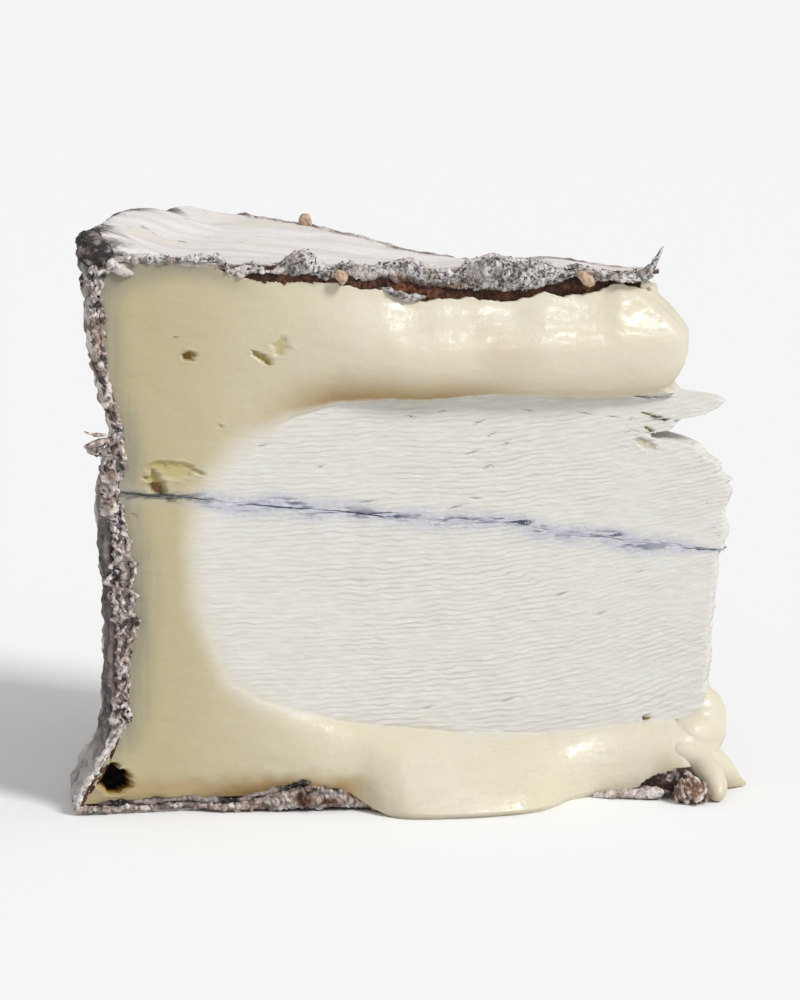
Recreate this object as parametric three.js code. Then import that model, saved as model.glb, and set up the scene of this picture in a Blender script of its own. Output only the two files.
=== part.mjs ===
// A wedge cut from a ripened wheel of ash-lined goat's cheese, in millimetres, +Z up.
// The wedge stands on its underside. Its front cut lies in the XZ plane with the thin tip, once the
// middle of the wheel, towards +X and the rind of the wheel's side towards -X. The back cut is turned
// from it by the wedge's angle. The origin is the middle of the underside of the whole piece.
//
// In section the wheel is a skin, the rind, around two layers of curd with a ribbon of ash between
// them. Each layer has ripened from the rind inwards: a soft cream zone around a chalky core.
import * as THREE from 'three';
import { mergeVertices } from 'three/addons/utils/BufferGeometryUtils.js';

// Driving dimensions.
const WEDGE_ANGLE = THREE.MathUtils.degToRad(44);
const RIND_THICKNESS = 1.9; // where it is thinnest
const CRUST_THICKENING = 1.3; // more on the crusted top and the lower side
const ASH_THICKNESS = 0.8;
const GAP = 0.3; // clearance between neighbouring layers
const TOP_SAG = 3.4; // how far the middle of the wheel's top has sunk, away from the front cut
const CORNER_LIFT = 1.9; // how far the wheel's top corner stands up beside the front cut
const WALL_WAVE = 0.7; // unevenness of the wheel's side
const CREAM_PROUD = 0.35; // how far cream stands out of a cut where it has not flowed
const TOP_ROLL = 4.2; // how far the upper cream rolls out over the core at the front cut
const TONGUE = 12.5; // how far the lower cream has run out of the front cut
const TIP_FLOW = 4.5; // how far the lower cream has run out at the tip
const TIP_ROLL = 2.2; // how far the upper cream rounds out at the tip
const BACK_FLOW = 0.45; // flow at the back cut, as a share of the front's

// Height of the ribbon of ash at a radius: it falls towards the middle of the wheel.
const ashHeight = (r) => 35 + 0.132 * r + 0.4 * Math.sin(r / 12);

// The wheel's half section, radius against height. Station by station, the outside of the rind is
// paired with the edge of the chalky core behind it: along the top, down the side, along the underside.
const STATIONS = [
  { outside: [13, 79.2], core: [11, 58.7] },
  { outside: [34, 79.6], core: [24, 59.6] },
  { outside: [55, 79.5], core: [44, 59.8] },
  { outside: [76, 79.9], core: [60, 59.2] },
  { outside: [90, 80.9], core: [69, 57.2] },
  { outside: [97, 79.4], core: [75.5, 53.8] },
  { outside: [96.6, 69], core: [80, 49.9] },
  { outside: [94.2, 57.5], core: [81.8, 47.8] },
  { outside: [96.2, ashHeight(96.2)], core: [82.4, ashHeight(82.4)] },
  { outside: [95.2, 34], core: [82.3, 37] },
  { outside: [95.2, 18], core: [80.6, 25.6] },
  { outside: [97.8, 8], core: [77.4, 18.8] },
  { outside: [100.6, 1.8], core: [72, 15.2] },
  { outside: [94, -1], core: [64, 12.8] },
  { outside: [72, 0], core: [50, 10.6] },
  { outside: [48, 0], core: [34, 9.4] },
  { outside: [24, 0], core: [18, 9.6] },
  { outside: [5, 0], core: [5, 10.2] },
];
const LAST = STATIONS.length - 1;
const ASH_STATION = 8; // where the ribbon of ash meets the side
const UPPER_CORNER = 5; // the middle of the core's rounded upper and lower corners
const LOWER_CORNER = 12;
const UPPER_TIP = 3; // the radii at which the cores end, towards the middle of the wheel
const LOWER_TIP = 4.6;
const LEAF_TOP = 58;

const splineOf = (key) => new THREE.SplineCurve(STATIONS.map((s) => new THREE.Vector2(...s[key])));
const outside = splineOf('outside');
const coreEdge = splineOf('core');

const { lerp, clamp } = THREE.MathUtils;
const smooth = (low, high, x) => THREE.MathUtils.smoothstep(x, low, high);
const hump = (low, peak, high, x) => smooth(low, peak, x) * (1 - smooth(peak, high, x));

// A point of the section at a station (a real number) and at a depth in mm in from the outside.
function inFrom(station, depth) {
  const from = outside.getPoint(station / LAST);
  from.y = Math.max(0, from.y);
  const to = coreEdge.getPoint(station / LAST);
  return from.lerp(to, depth / from.distanceTo(to));
}

const creamDepth = (station) => inFrom(station, 0).distanceTo(coreEdge.getPoint(station / LAST));

// The rind is a crust on the inner part of the top and on the lower side, and thinner elsewhere.
const rindThickness = (station) =>
  RIND_THICKNESS + CRUST_THICKENING * (hump(-3, 1, 4, station) + 0.7 * hump(8, 10, 12, station));

// Carries a point of the section round the wheel's axis, by a share t of the wedge's angle.
// A t below 0 or above 1 stays on the cut, moved out of it by flow.
function around({ x: r, y: z }, t, flow = 0) {
  const angle = clamp(t, 0, 1) * WEDGE_ANGLE;
  const fromCut = r * Math.sin(angle);
  const away = smooth(0, 30, fromCut);
  const wave = WALL_WAVE * away * Math.sin(9 * angle + z / 9) * smooth(60, 90, r) * smooth(0, 6, z);
  const sag = TOP_SAG * away * (z / 80) ** 2 * (1 - (Math.min(r, 96) / 96) ** 3);
  const lift = CORNER_LIFT * hump(2, 13, 26, fromCut) * smooth(84, 96, r) * smooth(66, 80, z);
  const radius = r + wave;
  const p = new THREE.Vector3(-radius * Math.cos(angle), radius * Math.sin(angle), z - sag + lift);
  if (t <= 0) p.y -= flow;
  if (t >= 1) p.add(new THREE.Vector3(Math.sin(angle), Math.cos(angle), 0).multiplyScalar(flow));
  return p;
}

// A closed solid from a bent block: point(a, b, c) gives the place of each grid point.
function block(as, bs, cs, point) {
  const grid = as.map((a) => bs.map((b) => cs.map((c) => point(a, b, c))));
  const at = { a: as.length - 1, b: bs.length - 1, c: cs.length - 1 };
  const positions = [];
  const face = (nu, nv, corner, flip) => {
    for (let u = 0; u < nu; u++)
      for (let v = 0; v < nv; v++) {
        const [p, q, r, s] = [corner(u, v), corner(u + 1, v), corner(u + 1, v + 1), corner(u, v + 1)];
        for (const k of flip ? [p, r, q, p, s, r] : [p, q, r, p, r, s]) positions.push(k.x, k.y, k.z);
      }
  };
  face(at.b, at.c, (u, v) => grid[0][u][v], true);
  face(at.b, at.c, (u, v) => grid[at.a][u][v], false);
  face(at.a, at.c, (u, v) => grid[u][0][v], false);
  face(at.a, at.c, (u, v) => grid[u][at.b][v], true);
  face(at.a, at.b, (u, v) => grid[u][v][0], true);
  face(at.a, at.b, (u, v) => grid[u][v][at.c], false);
  const soup = new THREE.BufferGeometry();
  soup.setAttribute('position', new THREE.Float32BufferAttribute(positions, 3));
  const geometry = mergeVertices(soup, 1e-4);
  if (signedVolume(geometry) < 0) turnInsideOut(geometry);
  geometry.computeVertexNormals();
  return geometry;
}

function signedVolume(geometry) {
  const place = geometry.attributes.position;
  const corner = (i) => new THREE.Vector3().fromBufferAttribute(place, geometry.index.getX(i));
  let six = 0;
  for (let i = 0; i < geometry.index.count; i += 3)
    six += corner(i).dot(corner(i + 1).cross(corner(i + 2)));
  return six / 6;
}

function turnInsideOut(geometry) {
  const index = geometry.index.array;
  for (let i = 0; i < index.length; i += 3) [index[i + 1], index[i + 2]] = [index[i + 2], index[i + 1]];
}

const steps = (from, to, count) =>
  Array.from({ length: count + 1 }, (_, i) => from + ((to - from) * i) / count);

// The layers share their steps along the section and round the wheel, so that their facets match.
const alongSection = (from, to) => steps(from, to, 4 * (to - from));
const AROUND = steps(0, 1, 10);
// Cream runs out of both cuts: the extra steps outside 0 to 1 give its rolls and tongues their depth.
const FLOWING = [-1, -0.7, -0.35, -0.06, ...AROUND, 1.06, 1.35, 1.7, 2];

// How much of the full flow there is at t: 0 on the cut, 1 at the outermost step.
const flowShare = (t) => {
  const out = t < 0 ? -t : t > 1 ? t - 1 : 0;
  return out > 0 ? Math.sin((Math.min(out, 1) * Math.PI) / 2) : 0;
};

// The rind: one skin over the top, the side and the underside, open at both cuts.
function rind() {
  return block(alongSection(0, LAST), [0, 1], AROUND, (station, b, t) =>
    around(inFrom(station, b * rindThickness(station)), t));
}

// Horizontally out of the wedge at its tip.
const tipward = new THREE.Vector3(Math.cos(WEDGE_ANGLE / 2), -Math.sin(WEDGE_ANGLE / 2), 0);

const FULLEST = 0.35; // the share of the lower cream's depth at which it has run furthest

// How far the two cream zones stand out of the front cut, at a radius and a share b of their depth.
const upperFlow = (r, b) => TOP_ROLL * hump(2, 22, 68, r) * Math.sin(Math.PI * (0.05 + 0.75 * b));
const lowerFlow = (r, b) =>
  TONGUE * (0.4 * hump(-10, 10, 34, r) + hump(20, 40, 66, r)) * Math.sin(Math.PI * (0.27 + 0.65 * b));

// The cream zone of one curd layer, from its tip to the ribbon of ash, which is above it (-1) or
// below it (1). Where the lower cream has run far it has sunk onto the floor.
function cream(stations, awayFromAsh, fullFlow) {
  return block(stations, steps(0, 1, 4), FLOWING, (station, b, t) => {
    const skin = rindThickness(station) + GAP;
    const p = inFrom(station, skin + b * (creamDepth(station) - skin));
    const nearAsh = 1 - Math.min(1, Math.abs(station - ASH_STATION));
    p.y += awayFromAsh * nearAsh * (ASH_THICKNESS / 2 + GAP);
    p.x -= TIP_ROLL * (1 - Math.min(1, station)) * Math.sin(Math.PI * b);
    const share = flowShare(t);
    const side = t > 1 ? BACK_FLOW : 1;
    const sinking = smooth(0.06, 0.7, share) * smooth(1, 8, fullFlow(p.x, FULLEST) * side);
    if (awayFromAsh < 0) p.y *= 1 - sinking * (1 - b) ** 1.5;
    const spread = TIP_FLOW * smooth(LAST - 1, LAST, station) * Math.sin(Math.PI * (0.35 + 0.5 * b));
    return around(p, t, (fullFlow(p.x, b) * side + CREAM_PROUD) * share).addScaledVector(tipward, spread);
  });
}

// A solid from four edge curves of its section (a Coons patch), carried round the wheel.
function core({ floor, roof, tip, wall }, columns, rows) {
  return block(steps(0, 1, columns), steps(0, 1, rows), AROUND.filter((_, i) => i % 2 === 0), (u, v, t) => {
    const along = roof(u).multiplyScalar(v).add(floor(u).multiplyScalar(1 - v));
    const across = wall(v).multiplyScalar(u).add(tip(v).multiplyScalar(1 - u));
    const corners = new THREE.Vector2()
      .addScaledVector(floor(0), (1 - u) * (1 - v))
      .addScaledVector(floor(1), u * (1 - v))
      .addScaledVector(roof(0), (1 - u) * v)
      .addScaledVector(roof(1), u * v);
    return around(along.add(across).sub(corners), t);
  });
}

const coreSkin = (station) => inFrom(station, creamDepth(station) + GAP);
const besideAsh = (r, side) => new THREE.Vector2(r, ashHeight(r) + side * (ASH_THICKNESS / 2 + GAP));

// The chalky core of the upper curd layer. Its tip has a leaf of curd at the top and a torn notch below it.
function upperCore() {
  const wallFoot = coreSkin(ASH_STATION).x;
  const notch = (z) => 10 * hump(51.5, 54, 57, z);
  const shoulder = (z) => UPPER_TIP + 4 * smooth(47, 52, z) * (1 - smooth(56, 58, z));
  const leaf = 1 / 6; // the share of the roof that is the leaf, standing out past the cream
  const foot = (r) => besideAsh(r, 1);
  const tip = (v) => {
    const z = lerp(foot(UPPER_TIP).y, LEAF_TOP, v);
    return new THREE.Vector2(shoulder(z) + notch(z), z);
  };
  return core({
    floor: (u) => foot(lerp(UPPER_TIP, wallFoot, u)),
    roof: (u) => {
      const behindLeaf = (u - leaf) / (1 - leaf);
      return behindLeaf < 0 ? tip(1).lerp(coreSkin(0), u / leaf) : coreSkin(behindLeaf * UPPER_CORNER);
    },
    tip,
    wall: (v) => (v === 0 ? foot(wallFoot) : coreSkin(lerp(ASH_STATION, UPPER_CORNER, v))),
  }, 12, 10);
}

// The chalky core of the lower curd layer, set back a little under the upper one at the tip.
function lowerCore() {
  const wallHead = coreSkin(ASH_STATION).x;
  const head = (r) => besideAsh(r, -1);
  return core({
    floor: (u) => coreSkin(lerp(LAST, LOWER_CORNER, u)),
    roof: (u) => head(lerp(LOWER_TIP, wallHead, u)),
    tip: (v) => coreSkin(LAST).lerp(head(LOWER_TIP), v),
    wall: (v) => (v === 1 ? head(wallHead) : coreSkin(lerp(LOWER_CORNER, ASH_STATION, v))),
  }, 12, 6);
}

// The ribbon of vegetable ash, from the tip to the inside of the rind.
function ashLine() {
  const wall = inFrom(ASH_STATION, RIND_THICKNESS + GAP).x;
  return block(steps(5, wall, 12), [-0.5, 0.5], AROUND.filter((_, i) => i % 2 === 0), (r, side, t) =>
    around(new THREE.Vector2(r, ashHeight(r) + side * ASH_THICKNESS), t));
}

const finish = (color, roughness) => new THREE.MeshStandardMaterial({ color, roughness, metalness: 0 });
const bloomyRind = finish(0xcfc8c2, 0.9);
const ripeCream = finish(0xddd2ae, 0.35);
const chalkyCurd = finish(0xe6e2da, 0.85);
const vegetableAsh = finish(0x5f6478, 0.95);

function named(name, geometry, material) {
  const mesh = new THREE.Mesh(geometry, material);
  mesh.name = name;
  return mesh;
}

const wedge = new THREE.Group();
wedge.add(
  named('rind', rind(), bloomyRind),
  named('upper_creamline', cream(alongSection(0, ASH_STATION), 1, upperFlow), ripeCream),
  named('lower_creamline', cream(alongSection(ASH_STATION, LAST), -1, lowerFlow), ripeCream),
  named('upper_core', upperCore(), chalkyCurd),
  named('lower_core', lowerCore(), chalkyCurd),
  named('ash_line', ashLine(), vegetableAsh),
);

// The wheel's axis is where the sections were drawn from. The origin moves to the middle of the underside.
const middle = new THREE.Box3().setFromObject(wedge).getCenter(new THREE.Vector3());
wedge.position.set(-middle.x, -middle.y, 0);

const cheeseWedge = new THREE.Group();
cheeseWedge.add(wedge);
export default cheeseWedge;
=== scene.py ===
# %% [markdown]
# # A wedge of ash-lined goat's cheese
#
# A wheel of soft-ripened goat's cheese has ripened from its rind inwards. Under the rind the curd has
# turned to a glossy cream, and the middle is still white and chalky. A ribbon of vegetable ash runs
# through the middle. The wedge cut from it has sat for a while, so the cream bulges out of the cut
# above the chalky core and runs out over the board below it.
#
# Such a thing could be sculpted by hand. Here each large piece is a grid that follows a rule instead:
# the grid is laid out on the wheel's half section, radius against height, and then pushed about by
# measured curves and by noise. Rules can be read, changed and run again with the same result.

# %% Load the frame
import math

import bmesh
import bpy
import numpy as np
from mathutils import Matrix, Vector


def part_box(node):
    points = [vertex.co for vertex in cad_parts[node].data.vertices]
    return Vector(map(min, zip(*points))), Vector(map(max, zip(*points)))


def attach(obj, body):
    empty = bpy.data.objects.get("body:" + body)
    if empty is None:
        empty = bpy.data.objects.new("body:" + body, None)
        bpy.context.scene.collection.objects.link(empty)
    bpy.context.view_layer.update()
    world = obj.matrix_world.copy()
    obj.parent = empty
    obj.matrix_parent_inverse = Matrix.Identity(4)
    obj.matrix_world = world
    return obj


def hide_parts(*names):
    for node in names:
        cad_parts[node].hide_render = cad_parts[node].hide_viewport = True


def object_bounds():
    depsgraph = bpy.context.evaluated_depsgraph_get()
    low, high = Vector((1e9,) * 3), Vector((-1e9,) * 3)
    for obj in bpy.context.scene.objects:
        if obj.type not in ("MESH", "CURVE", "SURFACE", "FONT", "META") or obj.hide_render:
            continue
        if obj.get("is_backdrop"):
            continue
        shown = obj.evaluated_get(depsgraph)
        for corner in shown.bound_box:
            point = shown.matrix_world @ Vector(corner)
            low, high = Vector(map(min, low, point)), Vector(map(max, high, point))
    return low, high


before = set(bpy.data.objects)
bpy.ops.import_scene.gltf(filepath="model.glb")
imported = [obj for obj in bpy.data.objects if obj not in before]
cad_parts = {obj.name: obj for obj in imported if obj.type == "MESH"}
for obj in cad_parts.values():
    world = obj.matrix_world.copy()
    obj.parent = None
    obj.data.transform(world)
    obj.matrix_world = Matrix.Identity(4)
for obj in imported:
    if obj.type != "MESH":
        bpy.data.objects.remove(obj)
cad_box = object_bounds()
print("model box, mm:", [[round(1000 * c, 1) for c in corner] for corner in cad_box])

# %% [markdown]
# ## The wheel's own measure
#
# The pieces are worked out in the wheel's measure, in millimetres: `r` is the distance from the
# wheel's axis, `z` the height above the board, and `t` the share of the way round from the front cut
# (0) to the back cut (1). The frame gives the place of the axis and of the front cut.

# %% From the wheel to the frame
MM = 0.001
WEDGE_ANGLE = math.radians(44)
RIBBON_SHORT_OF_AXIS = 5.0
WHEEL_HEIGHT = 80
FAR_FROM_ASH = 50.0  # a height above the ribbon where no powder reaches
axis_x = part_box("ash_line")[1].x / MM + RIBBON_SHORT_OF_AXIS
cut_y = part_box("lower_core")[0].y / MM
print("wheel's axis at x", round(axis_x, 2), "front cut at y", round(cut_y, 2))


def in_frame(points):
    """Wheel millimetres to the frame's metres."""
    return (points + [axis_x, cut_y, 0.0]) * MM


def smooth(low, high, x):
    share = np.clip((x - low) / (high - low), 0, 1)
    return share * share * (3 - 2 * share)


def hump(low, peak, high, x):
    return smooth(low, peak, x) * (1 - smooth(peak, high, x))


def straight(*knots):
    """A curve of straight stretches through the knots."""
    xs, ys = np.array(sorted(knots), float).T
    return lambda x: np.interp(x, xs, ys)


def through(*knots):
    """A smooth curve through the knots."""
    xs, ys = np.array(sorted(knots), float).T
    slopes = np.gradient(ys, xs)

    def curve(x):
        i = np.clip(np.searchsorted(xs, x) - 1, 0, len(xs) - 2)
        gap = xs[i + 1] - xs[i]
        s = np.clip((x - xs[i]) / gap, 0, 1)
        start = (1 + 2 * s) * (1 - s) ** 2 * ys[i] + s * (1 - s) ** 2 * gap * slopes[i]
        return start + s * s * (3 - 2 * s) * ys[i + 1] + s * s * (s - 1) * gap * slopes[i + 1]

    return curve


def bent(knots, steps):
    """A smooth path through knots: each of their columns is a smooth curve of the path's length."""
    knots = np.asarray(knots, float)
    along = np.concatenate([[0], np.cumsum(np.linalg.norm(np.diff(knots[:, :3], axis=0), axis=1))])
    s = np.linspace(0, along[-1], steps)
    return np.stack([through(*zip(along, column))(s) for column in knots.T], -1)


# How far the middle of the top has sunk, against radius, and how far its rim stands up, against the
# distance from the front cut.
sunk = through((5, 2.0), (20, 1.9), (40, 2.3), (50, 2.6), (61, 2.0), (69, 0.9), (78, 0.3), (97, 0.2))
rim_lift = through(
    (0, 0.4), (3, 2.2), (7, 3.2), (14, 3.2), (23, 2.9), (30, 2.9), (38, 3.4), (44, 3.4), (48, 2.7),
    (52, 1.8), (56, 1.9), (60, 1.8), (63, 0.2), (66, -1), (68, -1.4),
)


def around(r, z, t):
    """The place of a section point at a share t round the wedge."""
    r, z, t = np.broadcast_arrays(r, z, t)
    angle = np.clip(t, 0, 1) * WEDGE_ANGLE
    from_cut = r * np.sin(angle)
    sag = sunk(r) * smooth(0, 32, from_cut) * (z / WHEEL_HEIGHT) ** 2
    lift = rim_lift(from_cut) * smooth(82 + 6 * smooth(42, 54, from_cut), 96, r) * smooth(68, 80, z)
    return np.stack([-r * np.cos(angle), r * np.sin(angle), z - sag + lift], -1)


# %% [markdown]
# ## Noise
#
# Curd, cream and mould are irregular at every size. Gradient noise gives each grid point a smooth
# random height. Its absolute value makes round knobs with sharp creases between them, which is what
# a dried crust looks like. The table of random directions has a fixed seed.

# %% Gradient noise
chance = np.random.default_rng(7)
SHUFFLE = chance.permutation(256)
DIRECTIONS = chance.normal(size=(256, 3))
DIRECTIONS /= np.linalg.norm(DIRECTIONS, axis=1, keepdims=True)


def noise(points, size, seed=0, octaves=1):
    """Smooth noise of about -1 to 1, with features of the given size (one number or one for each axis)."""
    total, strength = 0.0, 1.0
    q = points / size + 31.7 * seed
    for _ in range(octaves):
        cell = np.floor(q).astype(int)
        part = q - cell
        ease = part**3 * (part * (part * 6 - 15) + 10)
        for corner in np.ndindex(2, 2, 2):
            c = (cell + corner) & 255
            pick = SHUFFLE[(SHUFFLE[(SHUFFLE[c[..., 0]] + c[..., 1]) & 255] + c[..., 2]) & 255]
            slope = ((part - corner) * DIRECTIONS[pick]).sum(-1)
            total = total + strength * 1.7 * slope * np.where(corner, ease, 1 - ease).prod(-1)
        q, strength = 2 * q + 5.3, strength / 2
    return total


def patches(points, size, seed, low, high, octaves=2):
    """Patches of 1 on 0: the noise decides, and they are soft between its low and high values."""
    return smooth(low, high, noise(points, size, seed, octaves))


def knobs(points, size, seed=0, octaves=2):
    """Round knobs of 0 to about 1 with creases at 0 between them."""
    total, strength = 0.0, 1.0
    for octave in range(octaves):
        total = total + strength * np.abs(noise(points, np.asarray(size) / 2**octave, seed + octave))
        strength /= 2
    return total


# %% [markdown]
# ## Closed meshes from grids
#
# Every piece has to be a closed solid. A slab has a front grid and a coarser back grid, joined by
# loops round its edge. Each piece keeps a few numbers for each vertex, called marks, such as how ripe
# the curd is there, and the finishes read them later.

# %% Pieces from meshes
def linked(name, data):
    """An object in the scene that holds a mesh, a camera or a light."""
    thing = bpy.data.objects.new(name, data)
    bpy.context.scene.collection.objects.link(thing)
    return thing


def corners(mesh):
    """A mesh's points in the frame's metres."""
    places = np.zeros(3 * len(mesh.vertices))
    mesh.vertices.foreach_get("co", places)
    return places.reshape(-1, 3)


def volume(mesh):
    mesh.calc_loop_triangles()
    triangles = np.zeros(3 * len(mesh.loop_triangles), int)
    mesh.loop_triangles.foreach_get("vertices", triangles)
    a, b, c = corners(mesh)[triangles].reshape(-1, 3, 3).transpose(1, 0, 2)
    return np.einsum("ij,ij->", a, np.cross(b, c)) / 6


def add_piece(name, mesh, marks, slot, *nodes):
    """A closed mesh becomes a piece that stands for these nodes; marks are numbers for each vertex."""
    if volume(mesh) < 0:
        mesh.flip_normals()
    for mark_name, values in marks.items():
        if mark_name not in mesh.attributes:
            mesh.attributes.new(mark_name, "FLOAT", "POINT")
        values = np.broadcast_to(values, len(mesh.vertices)).astype(np.float32)
        mesh.attributes[mark_name].data.foreach_set("value", values)
    mesh.polygons.foreach_set("use_smooth", [True] * len(mesh.polygons))
    mesh.name = name
    piece = linked(name, mesh)
    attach(piece, "root")
    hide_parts(*nodes)
    print(f"{name}: {sum(len(p.vertices) - 2 for p in mesh.polygons)} triangles")
    return piece


def solid(name, points, faces, marks, finish_name, slot, *nodes):
    """A piece from points in wheel millimetres."""
    mesh = bpy.data.meshes.new(name)
    mesh.from_pydata(in_frame(points).tolist(), [], faces)
    mesh.materials.append(finishes[finish_name])
    mesh.validate()
    return add_piece(name, mesh, marks, slot, *nodes)


# %% Slabs
def edge_of(grid):
    """The values round a grid's edge: along the bottom, up the far side, back along the top, down."""
    return np.concatenate([grid[0, :-1], grid[:-1, -1], grid[-1, :0:-1], grid[:0:-1, 0]])


def grid_faces(numbered, turned=False):
    quads = np.stack([numbered[:-1, :-1], numbered[:-1, 1:], numbered[1:, 1:], numbered[1:, :-1]], -1)
    quads = quads.reshape(-1, 4)
    return (quads[:, ::-1] if turned else quads).tolist()


def slab(front, loops, back):
    """Points and faces of a closed slab: the back has half as many steps each way as the front."""
    parts = [front.reshape(-1, 3), *loops, back.reshape(-1, 3)]
    starts = np.cumsum([0] + [len(part) for part in parts])
    front_numbers = np.arange(len(parts[0])).reshape(front.shape[:2])
    back_numbers = starts[-2] + np.arange(len(parts[-1])).reshape(back.shape[:2])
    faces = grid_faces(front_numbers)
    ring = edge_of(front_numbers)
    for loop, start in zip(loops, starts[1:]):
        nearer, ring = ring, start + np.arange(len(loop))
        faces += np.stack([nearer, ring, np.roll(ring, -1), np.roll(nearer, -1)], -1).tolist()
    faces += grid_faces(back_numbers, turned=True)
    last = edge_of(back_numbers)
    next_but_one, following = np.roll(ring, -2)[::2], np.roll(ring, -1)[::2]
    faces += np.stack([ring[::2], last, np.roll(last, -1), next_but_one, following], -1).tolist()
    return np.concatenate(parts), faces


# %% [markdown]
# ## Finishes
#
# There are three: the curd, whose colour goes from chalky white to cream as it ripens, the rind,
# which is white bloom in some places and grey crust, brown flesh or black mould in others, and the
# ash. One finish with several marks blends better than several finishes with hard borders, and the
# fine grain that no mesh could hold comes from noise textures that read the object's own place.

# %% Helpers for node trees
finishes = {}


class Tree:
    """The node tree that the helpers below add to."""
    now = None


def paint(hex_colour):
    """A colour written as on a paint card, as the linear values that a shader takes."""
    channels = [int(hex_colour[i : i + 2], 16) / 255 for i in (0, 2, 4)]
    return [c / 12.92 if c < 0.04045 else ((c + 0.055) / 1.055) ** 2.4 for c in channels] + [1.0]


def feed(inputs, values):
    """Gives inputs their values: numbers, colours or other nodes' outputs."""
    for key, value in values.items():
        if isinstance(value, bpy.types.NodeSocket):
            Tree.now.links.new(value, inputs[key])
        else:
            inputs[key].default_value = value


def node(kind, inputs=(), output=0, **settings):
    """Adds a node and gives one of its outputs."""
    added = Tree.now.nodes.new(kind)
    for setting, value in settings.items():
        setattr(added, setting, value)
    feed(added.inputs, dict(inputs))
    return added.outputs[output]


def new_finish(name):
    """Starts a finish and gives the inputs of its shader."""
    material = bpy.data.materials.new(name)
    material.use_nodes = True
    finishes[name] = material
    Tree.now = material.node_tree
    return Tree.now.nodes["Principled BSDF"].inputs


def mark(name):
    return node("ShaderNodeAttribute", output="Fac", attribute_name=name)


def grain(per_metre, stretch=(1, 1, 1), detail=3.0, roughness=0.55):
    """Noise on the object's own place, finer the larger per_metre is."""
    place = node("ShaderNodeTexCoord", output="Object")
    place = node("ShaderNodeMapping", {"Vector": place, "Scale": stretch})
    inputs = {"Vector": place, "Scale": per_metre, "Detail": detail, "Roughness": roughness}
    return node("ShaderNodeTexNoise", inputs)


def between(value, low, high, to_low=0.0, to_high=1.0):
    inputs = {"Value": value, "From Min": low, "From Max": high, "To Min": to_low, "To Max": to_high}
    return node("ShaderNodeMapRange", inputs, interpolation_type="SMOOTHSTEP")


def blended(share, first, second):
    """Two colours mixed; a share may be the name of a mark, and a colour may be a paint code."""
    share = mark(share) if isinstance(share, str) else share
    first, second = (paint(c) if isinstance(c, str) else c for c in (first, second))
    return node("ShaderNodeMix", {0: share, 6: first, 7: second}, output=2, data_type="RGBA")


def coats(colour, *layers):
    """Coats over a colour, one after the other; each is a share and a colour."""
    for share, coat in layers:
        colour = blended(share, colour, coat)
    return colour


def maths(operation, *values):
    """A sum, worked out from left to right."""
    total = values[0]
    for value in values[1:] or (0.0,):
        total = node("ShaderNodeMath", {0: total, 1: value}, operation=operation)
    return total


def times(*values):
    return maths("MULTIPLY", *values)


def plus(*values):
    return maths("ADD", *values)


def raised(height, strength, distance):
    return node("ShaderNodeBump", {"Height": height, "Strength": strength, "Distance": distance})


# %% [markdown]
# The curd finish reads several marks. `ripe` is 0 in the chalky core and 1 in the cream, `aged` turns
# the cream khaki towards the rind, and `ochre` is painted shade under the roll, where the cream hangs
# over, plus ochre stains low on the cut. `edge` is the grey of the cream that touches the rind, with
# painted shade under the crust along the top. `hollow` makes eyes and tears ochre and then brown with
# depth, and paints the deepest pits near black as shade. `from_ash` is the height above the ribbon of
# ash: thin strands of powder are drawn out beside it by the knife, so they come from noise that is
# stretched along the cut. `groove_shade` paints shade into the grooves between the ridges. Ripe curd is
# smooth and glossy, so `ripe` drives the gloss as well, and `wet` adds to it.

# %% The curd's finish
def ash_strands():
    """Shares of pale bloom and of dark strands beside the ribbon of ash."""
    wave = between(grain(260, stretch=(0.5, 0.5, 1)), 0.0, 1.0, -1.3, 1.3)
    off = maths("ABSOLUTE", plus(mark("from_ash"), wave))
    aged = mark("aged")
    wisp = between(grain(1300, stretch=(0.16, 0.16, 1.2)), 0.5, 0.55)
    patch = between(grain(210, stretch=(1, 1, 0.4), detail=2), 0.36, 0.62, 0.35, 1.0)
    strand = times(wisp, between(off, 0.15, 1.1, 1.0, 0.0), patch)
    broken = between(grain(520, stretch=(0.7, 0.7, 1.2), detail=4), 0.4, 0.56, 0.2, 1.0)
    near_rind = times(between(off, 0.1, 0.7, 1.0, 0.0), between(aged, 0.2, 0.6), broken)
    powder = between(grain(1500), 0.3, 0.65, 0.35, 0.9)
    bloom = times(between(off, 0.2, 2.6, 0.8, 0.0), powder, between(aged, 0.2, 0.8, 1.0, 0.3))
    return bloom, maths("MAXIMUM", strand, times(near_rind, 0.8))


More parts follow.
